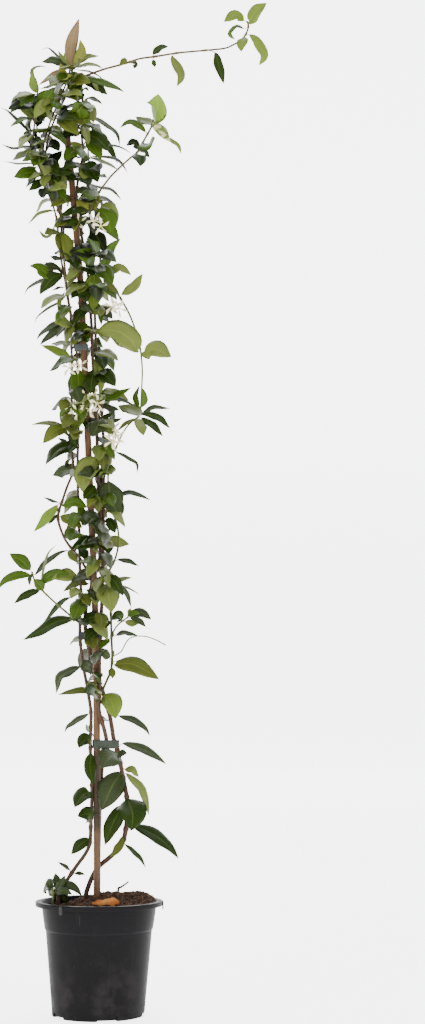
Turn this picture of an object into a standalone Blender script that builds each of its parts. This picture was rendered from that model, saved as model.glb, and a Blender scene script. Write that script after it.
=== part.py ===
# Star jasmine trained up a bamboo cane in a two-litre nursery pot.
# Lengths in the tables and functions are millimetres; SCALE takes them to metres when a mesh is made.
# Origin: centre of the pot's underside, +Z up, the front faces -Y.
import math
import random

import bmesh
import bpy
from mathutils import Vector
from mathutils.bvhtree import BVHTree

SCALE = 0.001
GAP = 0.3                       # clearance between pieces that touch
EYE = Vector((151, -2400, 385))  # where the layout readings are taken from

POT_BASE_R = 61.0
POT_STEP_Z = 111.0
POT_STEP_R = (70.8, 72.2)
POT_NECK_R = 76.4
POT_RIM_R = 85.0
POT_HEIGHT = 148.0
POT_WALL = 1.6
POT_FLOOR = 2.0
LIP_DROP = 6.0
POT_STEPS = 32
NOTCH_COUNT = 5
NOTCH_WIDTH = 27.0
NOTCH_HEIGHT = 5.5
NOTCH_FIRST = math.radians(-75.2)   # the notch nearest the front
LUG_ANGLES = [math.radians(a) for a in (-122, -2, 118)]
LUG_SIZE = (3.2, 5.0, 12.0)         # radial, round the rim, tall

SOIL_LEVEL = 146.0
SOIL_RINGS = (0, 20, 40, 60)

TWIG = [(24, 24, 118), (24, 24, 159), (27, 24, 163), (33, 24, 167), (38, 24, 171)]
TWIG_R = 1.1

CANE_R = 4.75
CANE = [(-3, 0, 104), (-3.2, 0, 200), (-4.3, 0, 310), (-5.3, 0, 414), (-9, 0, 550), (-16, 0, 687),
        (-26.7, 0, 896), (-33, 0, 998), (-44, 0, 1117), (-49.5, 0, 1170), (-58, 0, 1246)]
CANE_NODES = (262, 455, 632, 800, 962, 1112)
NODE_SWELL = 0.9

TIE_THICK = 0.9
TIE_STEPS = 14

BLADE_HALF = 0.62                # half thickness of a blade at its rib
PETIOLE_HALF = 0.7
BROAD_SHARES = (0.05, 0.34, 0.7)  # where a blade's sections lie, from its base to its tip
MIDDLE_SHARES = (0.15, 0.6)
NARROW_SHARES = (0.42,)
LENGTH_OVER_WIDTH = 2.5          # a short, broad reading is a leaf that points along the view
LONGEST = 62.0
FOLD = 0.14                      # rise of a blade's edges over its half width
SLACK = 0.4                      # extra size of a leaf while its place is tried
LEAF_STEP = 3.0
STEM_STEP = 26.0
THIN_STEM_STEP = 12.0
CANE_STEP = 80.0

STAR_R = 12.5
PETALS = 5
PETAL_HALF = 0.45                # half thickness of a petal
STALK_R = (0.9, 0.8)
NECK_R = 1.1                     # tube behind an open flower
NECK = 7.0

# Each stem: points (x, depth, z) up its length, radius at foot and tip. x and z are layout readings.
STEMS = {
    "stem_a": ([(-18, 6, 110), (-18, 6, 154), (-14, 7, 168), (-9, 9, 180), (-3, 10, 190), (4, 9, 197), (14, 6, 205),
                (25, 2, 216), (32, 0, 228), (35, 0, 242), (37, 0, 262), (36, 0, 285), (31, 0, 310), (27, 0, 330),
                (23, 1, 347), (18, 2, 362), (15, 2, 380), (11, 3, 400), (7, 6, 414), (2, 9, 426), (-4, 10, 440),
                (-10, 9, 452), (-14, 7, 472), (-19, 4, 495), (-22, 3, 520), (-20, 5, 545), (-15, 9, 562),
                (-12, 10, 578), (-6, 9, 592), (-2, 7, 612), (-2, 6, 635), (-3, 5, 660), (-4.5, 4, 690), (-6, 3, 725),
                (-7, 2, 760), (-9, 2, 790), (-12, 2, 830), (-13, 2, 860), (-15, 2, 890), (-16, 2, 920),
                (-18, 2, 950), (-20, 3, 985), (-23, 5, 1010), (-29, 7, 1045), (-35, 8, 1080), (-39, 8, 1110),
                (-37, 6, 1140), (-33, 4, 1158), (-31, 2, 1180), (-33, 2, 1215), (-31, 2, 1245), (-34, 0, 1275),
                (-34, -3, 1286), (-22, -6, 1292), (0, -8, 1300), (18, -10, 1305), (34, -10, 1310), (49, -10, 1315),
                (70, -8, 1318), (100, -4, 1323), (140, 4, 1327), (168, 8, 1330), (180, 8, 1335), (190, 6, 1341),
                (198, 4, 1350), (202, 2, 1362), (200, 0, 1370)], 2.3, 0.85),
    "stem_b": ([(-55, -14, 110), (-55, -14, 150), (-53, -14, 157), (-46, -12, 170), (-37, -10, 184), (-28, -8, 197),
                (-18, -7, 211), (-13, -6, 224), (-12, -3, 245), (-11, -2, 280), (-11.5, -2, 320), (-13.5, -2, 350),
                (-13, -1, 378), (-13, 0, 398), (-16, 0, 418), (-20, -1, 440), (-24, -2, 460), (-28, -3, 490),
                (-29, -3, 520), (-28, -2, 560), (-30, -2, 600), (-31, -2, 640), (-32, -2, 665), (-33, -2, 690),
                (-34, 0, 724), (-34, 2, 760), (-33, 4, 800), (-34, 4, 840), (-36, 2, 880), (-38, 0, 905),
                (-41, 0, 930), (-46, 0, 950), (-50, 0, 970), (-53, 0, 1000), (-56, 0, 1025), (-62, 0, 1045),
                (-65, 0, 1070), (-67, 0, 1085), (-73, 0, 1105), (-81, 0, 1125), (-87, 0, 1145), (-93, 2, 1160),
                (-98, 4, 1180), (-101, 4, 1200), (-98, 2, 1225), (-95, 0, 1245), (-95, -2, 1260), (-97, -3, 1276)],
               1.8, 0.8),
    "stem_c": ([(-2, 17, 110), (-2, 17, 154), (-2, 17, 195), (-1, 13, 230), (0, 10, 280), (3, 7, 330), (8, 3, 357),
                (6, -4, 371), (2, -8.5, 385), (-2, -9.5, 400), (-2, -9.5, 440), (-2, -9.5, 475), (-1, -9, 505),
                (0, -6, 530), (1, -3, 560), (1.5, -3, 600), (2, -3, 650), (1, 0, 690), (2, 6, 722), (2, 8, 750),
                (0, 9, 790), (-3, 9, 830), (-6, 9, 860), (-9, 9, 890), (-11, 9, 920), (-12, 9, 950), (-12, 9, 985),
                (-14, 8, 1010), (-18, 5, 1050), (-20, 3, 1075), (-20, 0, 1092), (-15, -2, 1107), (-8, -4, 1120),
                (0, -6, 1132), (10, -8, 1145), (28, -8, 1163), (38, -8, 1172), (46, -6, 1179), (53, -4, 1192),
                (60, -2, 1205), (66, 0, 1217), (68, 0, 1226)], 2.2, 0.9),
    "stem_d": ([(-18, 12.5, 583), (-22, 10, 593), (-28, 6.5, 604), (-34, 4.5, 612), (-42, 4, 621), (-50, 2, 632),
                (-57, 0, 648), (-60, -2, 660), (-59, -2, 672), (-55, -2, 684), (-50, -1, 700), (-45, 0, 713),
                (-41, 0, 724), (-40.5, 0, 740), (-43, 0, 760), (-44, 0, 785), (-43, 0, 820), (-43, 2, 860),
                (-44, 3, 900), (-45, 6, 930), (-47, 7, 955), (-52, 7, 985), (-57, 7, 1010), (-61, 6, 1035),
                (-60, 5, 1060), (-60, 5, 1080), (-66, 5, 1100), (-74, 5, 1122), (-80, 4, 1145), (-83, 4, 1170),
                (-81, 2, 1190), (-78, 0, 1206), (-70, -4, 1228), (-62, -8, 1246), (-57, -7, 1257), (-51, -2, 1280),
                (-46, 0, 1300)], 1.3, 0.9),
    "stem_e": ([(-58.5, -3, 1030), (-59, -5, 1042), (-57, -5.5, 1058), (-57, -5.5, 1080), (-63, -5.5, 1100),
                (-71, -5, 1122), (-78, -5, 1145), (-85, -4, 1170), (-86, -4, 1190), (-82, -5, 1206),
                (-75, -8, 1228), (-66, -11, 1250), (-61, -9, 1262), (-55, -6, 1280), (-50, -3, 1298)], 1.1, 0.85),
    "shoot_twining": ([(4, -3, 431), (8, -4, 440), (13, -4, 452), (15, -4, 465), (15, -4, 480), (14, -4, 500),
                       (13, -4, 530), (11, -4, 555), (8, -3, 574), (10, -2, 588), (16, 0, 600), (21, 2, 615),
                       (23, 2, 635), (20, 2, 655), (15, 2, 668), (11, 1, 682), (8.5, 0, 700), (8, 0, 722),
                       (11, -1, 738), (14, -2, 750), (18, -2, 758), (23, -3, 770), (33, -4, 788), (42, -4, 797),
                       (49, -4, 802)], 1.2, 0.8),
    "shoot_left": ([(-31.5, -5, 519), (-36, -7, 523), (-50, -9, 535), (-62, -11, 545), (-75, -12, 557),
                    (-85, -12, 567), (-92, -12, 578), (-95, -12, 588)], 1.1, 0.8),
    "shoot_hanging": ([(-11, 6.5, 1008.5), (-8, 5, 1009), (-2, 2, 1006), (5, 0, 999), (13, -3, 986), (24, -6, 968),
                       (36, -8, 946), (45, -8, 922), (51, -8, 898), (54, -6, 870), (53.5, -3, 845),
                       (52.5, 1, 822), (52, 3, 812)], 1.1, 0.75),
    "shoot_right": ([(16.3, -5.5, 506), (19, -7, 511), (23, -8, 516), (29, -9, 521), (36, -10, 526)], 0.9, 0.7),
    "shoot_inner": ([(-19.5, -2.6, 1096), (-20, -5, 1102), (-20, -6, 1120), (-20, -6, 1140), (-22, -5, 1165),
                     (-24, -5, 1186)], 0.9, 0.7),
    "tendril": ([(17.3, -5, 473), (20, -6, 475), (27, -7, 479), (32, -7, 488), (37, -7, 496), (46, -7, 500),
                 (60, -6, 500), (75, -4, 495), (88, -2, 488)], 0.65, 0.6),
    "low_sprig": ([(-62, -20, 112), (-62, -20, 140), (-61.5, -20, 150), (-61, -20, 158), (-62, -20, 164)], 1.2, 0.9),
}

# Each leaf: readings (x, z) from blade base to tip, width, depth of the tip from its base, turn of the
# upper face from the front (0) over upright (90) to the back (180).
LEAVES = {
    "stem_a": [
        ((45, 247, 70, 236, 90, 222, 106, 203), 19, -20, 45),
        ((37, 283, 44, 262, 42, 240), 34, -22, 15),
        ((31, 272, 18, 250, 7, 221), 22, -12, 30),
        ((31, 232, 26, 218, 14, 205), 13, -14, 40),
        ((29, 316, 17, 300, 2, 267), 32, -20, 20),
        ((33, 321, 43, 321, 52, 311), 12, 8, 60),
        ((34, 316, 48, 303, 58, 292, 66, 260), 14, 14, 50),
        ((22, 344, 14, 338, 1, 323), 28, -16, 15),
        ((24, 342, 30, 343, 36, 343), 10, -12, 30),
        ((30, 356, 50, 351, 72, 341, 89, 328), 15, -6, 60),
        ((34, 222, 45, 213, 55, 203, 62, 191), 8, 10, 70),
        ((24, 393, 42, 388, 58, 379, 67, 366), 12, 12, 70),
        ((5, 422, 15, 411, 20, 389), 25, -14, 20),
        ((-18, 572, -32, 574, -52, 561), 14, -16, 40),
        ((-9, 704, -16, 698, -26, 688), 18, -14, 15),
        ((-10, 746, -24, 725, -27, 698), 27, (-7.4, -7.6, -10), 5),
        ((-14, 866, -17, 858, -20, 842), 12, -14, 25),
        ((-11, 884, -4, 862, -3, 834), 14, -12, 25),
        ((-6, 834, 12, 830, 25, 836, 39, 843), 13, -12, 35),
        ((-6, 826, 20, 827, 45, 818), 10, -6, 60),
        ((-4, 798, -7, 790, -14, 774), 25, -16, 15),
        ((-11, 891, 0, 890, 12, 892), 12, -12, 35),
        ((-10, 886, -3, 880, 1, 868), 12, -8, 30),
        ((-21, 952, -26, 955, -35, 946), 13, -14, 20),
        ((-35, 1208, -50, 1206, -64, 1196), 15, -14, 25),
        ((-28, 1206, -10, 1198, 5, 1180), 24, -14, 20),
        ((-27, 1204, -8, 1200, 8, 1182, 18, 1163), 14, 10, 35),
        ((-27, 1195, -15, 1186, -5, 1168), 18, -20, 20),
        ((-33, 1178, -39, 1186, -49, 1193), 14, -12, 20),
        ((-27, 1188, 5, 1188, 22, 1186, 38, 1176), 8, 12, 60),
        ((-28, 1230, -10, 1226, 6, 1215, 17, 1204, 21, 1188), 12, -10, 50),
        ((-28, 1206, -18, 1209, -8, 1210), 6, 14, 50),
        ((-36, 1171, -41, 1173, -48, 1167), 8, -14, 40),
        ((-28, 1256, -16, 1256, -4, 1248), 12, -8, 50),
        ((-35, 1228, -37, 1240, -43, 1252), 25, -14, 15),
        ((-30, 1232, -27, 1222, -28, 1206), 14, -16, 25),
        ((-37, 1260, -42, 1263, -49, 1268), 15, -12, 20),
        ((-31, 1288, -12, 1282, 10, 1275, 27, 1266), 14, -6, 35),
        ((-32, 1269, -28, 1272, -23, 1267), 6, -6, 40),
        ((30, 1307, 27, 1313, 20, 1303), 9, -8, 30),
        ((37, 1308, 42, 1308, 41, 1300), 9, 8, 30),
        ((67, 1321, 76, 1330, 89, 1333), 13, -8, 30),
        ((67, 1314, 68, 1310, 70, 1302), 7, 8, 30),
        ((95, 1319, 99, 1307, 107, 1291, 101, 1274), 14, -10, 30),
        ((154, 1324, 160, 1305, 167, 1278), 13, 8, 25),
        ((202, 1368, 211, 1382, 228, 1397), 20, -8, 20),
        ((196, 1371, 184, 1379, 167, 1369), 16, -8, 20),
        ((196, 1359, 185, 1362, 175, 1352, 183, 1343), 9, 8, 40),
        ((196, 1346, 193, 1338, 192, 1325), 14, -8, 20),
        ((203, 1350, 215, 1339, 224, 1320, 217, 1305), 15, 6, 25),
    ],
    "stem_b": [
        ((-14, 361, -22, 360, -29, 350), 18, -12, 30),
        ((-12, 343, -14, 325, -9, 301), 16, -12, 30),
        ((-12, 291, -22, 288, -34, 271), 22, -12, 35),
        ((-12, 259, -19, 262, -30, 259), 18, -10, 30),
        ((-14, 228, -23, 224, -38, 209), 15, -10, 30),
        ((-39, 187, -47, 194, -56, 199), 6, 8, 65),
        ((-33, 184, -28, 184, -19, 182), 6, -8, 65),
        ((-15, 396, -30, 388, -44, 379, -48, 370), 11, 10, 65),
        ((-28, 459, -45, 452, -56, 444, -60, 423), 17, -12, 50),
        ((-38, 523, -60, 520, -84, 507, -106, 495), 19, -8, 40),
        ((-27, 521, -12, 526, 10, 523), 16, -20, 25),
        ((-30, 558, -23, 553, -15, 540), 14, -12, 30),
        ((-42, 553, -52, 549, -62, 538, -79, 518), 11, 12, 55),
        ((-28, 622, -24, 612, -20, 602), 13, -14, 30),
        ((-36, 656, -42, 648, -50, 637), 14, 8, 30),
        ((-35, 690, -39, 692, -46, 688), 13, 8, 20),
        ((-30, 680, -27, 668, -26, 650), 11, -10, 30),
        ((-35, 782, -41, 775, -36, 760), 14, -12, 25),
        ((-29, 814, -32, 800, -43, 781), 16, -14, 20),
        ((-34, 868, -34, 850, -30, 827), 21, -14, 15),
        ((-50, 936, -70, 931, -85, 920, -93, 910), 13, -4, 45),
        ((-48, 934, -70, 920, -88, 903), 15, -16, 35),
        ((-62, 1001, -80, 1004, -90, 1014, -104, 1015), 19, -12, 30),
        ((-58, 1004, -70, 1017, -84, 1020), 9, 10, 55),
        ((-62, 999, -85, 994, -103, 986, -110, 975), 11, 12, 60),
        ((-60, 1024, -66, 1026, -75, 1029), 10, 8, 40),
        ((-70, 1093, -80, 1094, -94, 1088, -106, 1075), 9, -6, 45),
        ((-69, 1071, -76, 1058, -84, 1058, -91, 1066), 9, 6, 45),
        ((-105, 1207, -120, 1222, -135, 1237, -147, 1243), 8, -8, 65),
        ((-105, 1204, -111, 1208, -113, 1198), 6, -6, 40),
        ((-103, 1186, -118, 1186, -130, 1184, -145, 1190), 9, 6, 50),
        ((-102, 1180, -114, 1176, -129, 1167), 16, -12, 25),
        ((-99, 1162, -120, 1162, -141, 1165), 8, 12, 50),
        ((-96, 1157, -108, 1153, -121, 1142), 12, -8, 35),
        ((-95, 1231, -86, 1250, -72, 1270), 31, -14, 15),
        ((-99, 1230, -104, 1243, -99, 1263), 17, 10, 25),
        ((-101, 1228, -112, 1238, -127, 1256), 11, -6, 30),
        ((-95, 1264, -101, 1277, -104, 1295), 12, -8, 25),
        ((-99, 1281, -104, 1297, -93, 1304, -83, 1302), 7, 8, 40),
        ((-93, 1223, -83, 1230, -63, 1226), 7, -14, 50),
    ],
    "stem_c": [
        ((-6, 423, -30, 427, -58, 421), 12, -4, 55),
        ((-4, 630, -22, 628, -42, 620), 21, -18, 30),
        ((2, 629, 6, 624, 10, 613), 18, -12, 25),
        ((4, 656, 10, 657, 18, 641), 14, -10, 25),
        ((4, 760, 6, 745, 2, 722), 12, 10, 40),
        ((3, 776, 9, 762, 8, 744), 14, -10, 30),
        ((-1, 817, 8, 815, 23, 812), 13, 12, 40),
        ((2, 790, 14, 796, 27, 800), 10, 12, 45),
        ((0, 800, 6, 803, 13, 807), 10, -12, 40),
        ((-14, 1016, -23, 1028, -41, 1036), 23, -16, 20),
        ((-8, 1016, 2, 1021, 9, 1040, 23, 1054), 14, -12, 30),
        ((-17, 1066, -9, 1055, 2, 1034), 20, -14, 20),
        ((-19, 1094, -28, 1101, -39, 1108), 24, -12, 20),
        ((-16, 1096, -15, 1106, -9, 1121), 18, -16, 20),
        ((-9, 1096, 4, 1085, 10, 1060), 24, -14, 20),
        ((-6, 1099, 8, 1098, 18, 1075), 18, 8, 30),
        ((-24, 1091, -40, 1094, -61, 1088), 14, -18, 25),
        ((-13, 1004, -14, 985, -15, 951), 24, -18, 15),
        ((-11, 964, -5, 951, -3, 931), 10, -16, 30),
        ((47, 1182, 41, 1193, 30, 1188), 12, -8, 25),
        ((45, 1176, 49, 1169, 50, 1158), 17, -10, 20),
        ((48, 1179, 55, 1180, 63, 1171), 12, 8, 25),
        ((54, 1190, 60, 1189, 71, 1199), 22, -10, 20),
        ((59, 1206, 50, 1215, 36, 1223, 21, 1214), 13, -12, 35),
        ((64, 1218, 56, 1224, 43, 1230), 16, 8, 25),
        ((68, 1229, 73, 1242, 75, 1263), 29, -6, 10),
        ((69, 1225, 77, 1212, 92, 1193), 18, -10, 20),
        ((88, 1200, 96, 1193, 103, 1189, 107, 1176), 8, 8, 35),
    ],
    "stem_d": [
        ((-42, 618, -40, 610, -33, 600), 12, -8, 30),
        ((-61, 680, -70, 669, -80, 657, -93, 643), 16, -10, 35),
        ((-60, 683, -72, 687, -81, 691), 6, 8, 55),
        ((-62, 667, -67, 660, -74, 653), 7, -4, 40),
        ((-54, 680, -38, 684, -20, 676), 15, -14, 25),
        ((-57, 664, -42, 659, -27, 648), 16, -16, 25),
        ((-46, 759, -60, 760, -70, 753, -77, 740), 14, -8, 50),
        ((-46, 775, -56, 786, -75, 794, -99, 791), 12, 8, 50),
        ((-46, 787, -51, 802, -48, 824), 17, -10, 20),
        ((-46, 766, -54, 769, -62, 773), 6, -6, 40),
        ((-45, 884, -60, 893, -86, 903), 14, -10, 35),
        ((-55, 977, -61, 966, -61, 954, -53, 949), 7, -10, 30),
        ((-54, 970, -78, 954, -92, 943, -95, 934), 7, 10, 65),
        ((-55, 985, -63, 984, -72, 980), 7, -8, 50),
        ((-66, 1228, -54, 1221, -37, 1203), 21, -12, 20),
        ((-81, 1186, -73, 1190, -64, 1180), 17, -12, 20),
        ((-80, 1162, -71, 1169, -60, 1181), 15, 14, 20),
        ((-47, 1303, -49, 1332, -38, 1374), 22, -6, 10),
        ((-44, 1303, -34, 1325, -36, 1343), 17, -10, 20),
        ((-42, 1305, -28, 1317, -9, 1319), 13, 6, 35),
        ((-41, 1302, -20, 1307, -3, 1300), 11, -6, 45),
        ((-42, 1299, -20, 1295, -7, 1288, -3, 1280), 6, 10, 50),
        ((-56, 1262, -72, 1269, -90, 1262), 13, 12, 35),
    ],
    "stem_e": [
        ((-63, 1064, -58, 1046, -58, 1028), 17, -12, 20),
        ((-56, 1062, -51, 1045, -50, 1019), 15, -18, 20),
        ((-86, 1176, -91, 1171, -100, 1158), 21, -12, 15),
        ((-80, 1139, -92, 1133, -106, 1123), 15, -12, 25),
        ((-76, 1152, -66, 1135, -53, 1107), 16, -14, 25),
        ((-87, 1192, -93, 1197, -103, 1196), 11, -8, 30),
        ((-53, 1303, -64, 1315, -80, 1330, -91, 1328), 6, 8, 45),
        ((-54, 1302, -65, 1313, -79, 1318), 7, -4, 40),
        ((-54, 1306, -72, 1312, -90, 1310), 15, -10, 25),
        ((-55, 1301, -72, 1292, -94, 1276), 14, -14, 25),
        ((-48, 1295, -54, 1290, -70, 1286), 23, -20, 15),
        ((-60, 1278, -74, 1276, -92, 1270), 10, 8, 45),
        ((-54, 1306, -61, 1316, -67, 1327), 6, -14, 30),
    ],
    "shoot_twining": [
        ((18, 462, 40, 463, 60, 454, 79, 442), 22, -12, 30),
        ((18, 466, 36, 469, 50, 470, 65, 459), 6, 8, 55),
        ((13, 457, 15, 452, 16, 443), 9, -8, 20),
        ((12, 471, 6, 476, -2, 483), 12, -14, 25),
        ((11, 497, 5, 492, -4, 483), 10, -14, 30),
        ((20, 501, 32, 505, 50, 501), 10, -6, 55),
        ((10, 575, 26, 578, 42, 580), 10, 8, 50),
        ((13, 573, 24, 570, 34, 558, 41, 539), 10, -6, 50),
        ((6, 571, 9, 557, 14, 533), 27, -14, 15),
        ((16, 572, 30, 568, 42, 563, 53, 556), 5, 6, 50),
        ((10, 522, 4, 516, -4, 507), 12, -14, 30),
        ((21, 604, 35, 603, 51, 596), 10, 6, 60),
        ((14, 605, 8, 608, -3, 607), 6, -10, 55),
        ((9, 712, 11, 694, 22, 664), 30, -14, 15),
        ((17, 689, 40, 697, 67, 686), 11, 10, 60),
        ((18, 686, 26, 680, 27, 665), 10, -8, 45),
        ((18, 754, 35, 745, 47, 737, 48, 724), 8, 8, 60),
        ((47, 803, 40, 812, 21, 818), 21, 8, 30),
        ((46, 800, 35, 795, 19, 782), 9, -8, 50),
        ((51, 799, 52, 790, 56, 776), 16, -8, 30),
        ((53, 804, 68, 815, 93, 814), 10, 8, 45),
        ((54, 806, 75, 802, 93, 786), 12, -6, 35),
        ((53, 801, 68, 791, 83, 775), 12, -14, 35),
    ],
    "shoot_left": [
        ((-95, 590, -108, 602, -126, 613), 16, -8, 20),
        ((-97, 584, -118, 583, -132, 576, -141, 564), 13, -6, 30),
        ((-83, 571, -72, 582, -58, 586, -43, 585), 15, -8, 25),
        ((-79, 563, -84, 570, -93, 578), 13, -18, 15),
        ((-85, 562, -102, 557, -119, 545), 12, 10, 30),
        ((-91, 584, -76, 601, -60, 613, -44, 618), 11, 10, 45),
        ((-96, 585, -98, 578, -98, 569), 6, -8, 30),
        ((-83, 572, -78, 598, -73, 614, -62, 625), 5, -12, 45),
    ],
    "shoot_hanging": [
        ((50, 815, 45, 830, 50, 846), 10, 10, 45),
        ((53, 814, 57, 828, 53, 844), 11, -8, 40),
        ((48, 894, 36, 912, 14, 924, -12, 920), 33, -12, 20),
        ((55, 892, 72, 897, 94, 886), 25, -8, 20),
        ((7, 1002, 22, 1013, 38, 1002), 14, 8, 30),
        ((26, 974, 40, 984, 54, 1004), 15, 10, 25),
        ((1, 998, 8, 988, 22, 973), 12, -10, 35),
    ],
    "shoot_right": [
        ((31, 520, 40, 518, 53, 519), 10, 6, 30),
        ((37, 527, 52, 533, 68, 523), 13, -6, 30),
        ((38, 525, 50, 522, 61, 513), 9, 8, 30),
        ((35, 528, 38, 533, 40, 539), 6, -4, 30),
        ((27, 522, 23, 528, 15, 522), 14, -8, 20),
        ((36, 529, 44, 532, 52, 531), 9, -16, 20),
    ],
    "shoot_inner": [
        ((-21, 1171, -2, 1165, 21, 1152), 11, -12, 45),
        ((-18, 1172, 10, 1171, 22, 1164, 32, 1149), 9, 8, 50),
        ((-22, 1139, -27, 1139, -35, 1135), 9, -6, 35),
        ((-17, 1131, -3, 1127, 12, 1123, 24, 1109), 9, 8, 55),
    ],
    "low_sprig": [
        ((-63, 163, -66, 168, -68, 176), 10, -4, 15),
        ((-60, 163, -57, 172, -59, 184), 10, 8, 20),
        ((-59, 162, -51, 170, -46, 181), 10, -6, 20),
        ((-58, 160, -45, 168, -33, 165, -23, 154), 11, -12, 30),
        ((-58, 158, -48, 161, -36, 156), 10, -20, 25),
    ],
}

# Open flowers of each cluster: readings (x, z), depth, and the turn of the face to the side and up.
FLOWERS = {
    "flowers_main": ([(-13, -0.6, 848), (-14, -8, 846), (-18, -16, 838), (-24, -20, 828)],
                     [(-29, 827, -27, 0, 10), (-42, 819, -20, -40, 0), (-19, 812, -26, 10, -30),
                      (-13, 833, -22, 35, 30), (-35, 808, -23, -20, -35), (-8, 821, -20, 45, 0)]),
    "flowers_top": ([(-18, -3, 1082), (-15, -7, 1081), (-12, -12, 1079)],
                    [(-14, 1080, -18, -10, 10), (-5, 1072, -14, 30, -20), (-36, 1078, -16, -30, 0)]),
    "flowers_mid": ([(10, -5.6, 987), (9, -9, 982), (10, -12, 973), (14, -14, 962)],
                    [(12, 957, -18, -10, 10), (21, 955, -13, 40, 0)]),
    "flowers_left": ([(-39, 1.0, 885), (-40.5, -4, 881), (-42, -8, 877), (-40, -12, 873)],
                     [(-46, 871, -15, -30, 0), (-33, 874, -16, 10, 20)]),
    "flowers_right": ([(22, -5, 775), (20, -8, 777), (17, -12, 779)],
                      [(13, 785, -16, -20, 20), (19, 775, -18, 20, -10), (13, 768, -14, -10, -30)]),
}

# What each side shoot or flower stalk grows from.
PARENTS = {"stem_d": "stem_a", "stem_e": "stem_b", "shoot_twining": "stem_a", "shoot_left": "stem_b",
           "shoot_hanging": "stem_c", "shoot_right": "shoot_twining", "shoot_inner": "stem_c",
           "tendril": "shoot_twining", "flowers_main": "stem_a", "flowers_top": "stem_c",
           "flowers_mid": "shoot_hanging", "flowers_left": "stem_d", "flowers_right": "shoot_twining"}

# Each tie: height, tape width and the stems it binds to the cane. Extra circles keep room for a leaf.
TIES = {"tie_1": (355, 11, ["stem_c", "stem_a"], []), "tie_2": (501, 9, ["stem_b", "stem_a", "stem_c"], []),
        "tie_3": (724, 9.5, ["stem_b", "stem_d", "stem_a"], [(-36, -9.4), (-14, -9.4)]),
        "tie_4": (899, 9, ["stem_b"], []), "tie_5": (1008, 7, [], []),
        "tie_6": (1076, 11, ["stem_a", "stem_b", "stem_d", "stem_e"], [])}

# Leaves behind the column, which fill its far side: stem, height, sideways and downward reach, depth.
BACK_SEED = 11
BACK_LEAVES = [("stem_b", 262), ("stem_b", 372), ("stem_a", 470), ("stem_b", 545), ("stem_c", 600),
               ("stem_a", 668), ("stem_c", 745), ("stem_c", 812), ("stem_b", 850), ("stem_c", 905),
               ("stem_d", 935), ("stem_c", 975), ("stem_a", 1040), ("stem_a", 1120), ("stem_d", 1160),
               ("stem_a", 1215)]

COLOURS = {"pot": ((0.018, 0.018, 0.019), 0.45), "soil": ((0.035, 0.017, 0.010), 0.95),
           "bark": ((0.42, 0.17, 0.06), 0.8), "twig": ((0.09, 0.075, 0.07), 0.8),
           "cane": ((0.36, 0.22, 0.12), 0.6), "tie": ((0.13, 0.14, 0.125), 0.5),
           "leaf": ((0.07, 0.14, 0.03), 0.4), "petal": ((0.86, 0.82, 0.62), 0.55)}


def material(name):
    colour, roughness = COLOURS[name]
    made = bpy.data.materials.get(name) or bpy.data.materials.new(name)
    made.use_nodes = True
    shader = made.node_tree.nodes["Principled BSDF"]
    shader.inputs["Base Color"].default_value = (*colour, 1)
    shader.inputs["Roughness"].default_value = roughness
    shader.inputs["Metallic"].default_value = 0
    return made


def clear_scene():
    for old in list(bpy.data.objects):
        bpy.data.objects.remove(old, do_unlink=True)


def collection(name):
    made = bpy.data.collections.new(name)
    bpy.context.scene.collection.children.link(made)
    return made


def add_object(name, mesh, look, into):
    made = bpy.data.objects.new(name, mesh)
    mesh.materials.clear()
    mesh.materials.append(material(look))
    into.objects.link(made)
    return made


def solid(name, points, faces, look, into):
    mesh = bpy.data.meshes.new(name)
    mesh.from_pydata([Vector(p) * SCALE for p in points], [], faces)
    face_outward(mesh)
    return add_object(name, mesh, look, into)


def face_outward(mesh):
    shape = bmesh.new()
    shape.from_mesh(mesh)
    bmesh.ops.recalc_face_normals(shape, faces=shape.faces)
    shape.to_mesh(mesh)
    shape.free()


def evaluated_mesh(made):
    depsgraph = bpy.context.evaluated_depsgraph_get()
    return bpy.data.meshes.new_from_object(made.evaluated_get(depsgraph))


def apply_modifiers(made):
    mesh = evaluated_mesh(made)
    made.modifiers.clear()
    made.data = mesh


def boolean(made, operation, other, solver="EXACT"):
    step = made.modifiers.new(operation.title(), "BOOLEAN")
    step.operation = operation
    step.solver = solver
    if isinstance(other, bpy.types.Collection):
        step.operand_type = "COLLECTION"
        step.collection = other
    else:
        step.object = other
    apply_modifiers(made)


def remove_collection(group):
    for piece in list(group.objects):
        bpy.data.objects.remove(piece, do_unlink=True)
    bpy.data.collections.remove(group)


def turned(name, profile, steps, look, into):
    """A profile of (radius, height), outer side downward, turned about Z."""
    mesh = bpy.data.meshes.new(name)
    closed = profile[0][0] > 0
    count = len(profile)
    edges = [(i, (i + 1) % count) for i in range(count if closed else count - 1)]
    mesh.from_pydata([(r * SCALE, 0, z * SCALE) for r, z in profile], edges, [])
    made = add_object(name, mesh, look, into)
    screw = made.modifiers.new("Turn", "SCREW")
    screw.steps = steps
    screw.render_steps = steps
    screw.use_merge_vertices = True
    screw.merge_threshold = 0.00005
    screw.use_smooth_shade = False
    apply_modifiers(made)
    return made


def sight(point):
    """A layout reading (x, depth, z), taken in the plane y = 0, moved along its sight line to its depth."""
    x, y, z = point
    k = (y - EYE.y) / -EYE.y
    return Vector((EYE.x + (x - EYE.x) * k, y, EYE.z + (z - EYE.z) * k))


def smooth(points, step):
    """Points of a Catmull-Rom curve through the given ones, about one step apart."""
    knots = [Vector(p) for p in points]
    knots = [knots[0] * 2 - knots[1]] + knots + [knots[-1] * 2 - knots[-2]]
    out = []
    for a, b, c, d in zip(knots, knots[1:], knots[2:], knots[3:]):
        count = max(1, round((c - b).length / step))
        for i in range(count):
            t = i / count
            out.append(0.5 * (2 * b + (c - a) * t + (2 * a - 5 * b + 4 * c - d) * t ** 2
                              + (3 * b - a - 3 * c + d) * t ** 3))
    return out + [knots[-2]]


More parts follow.
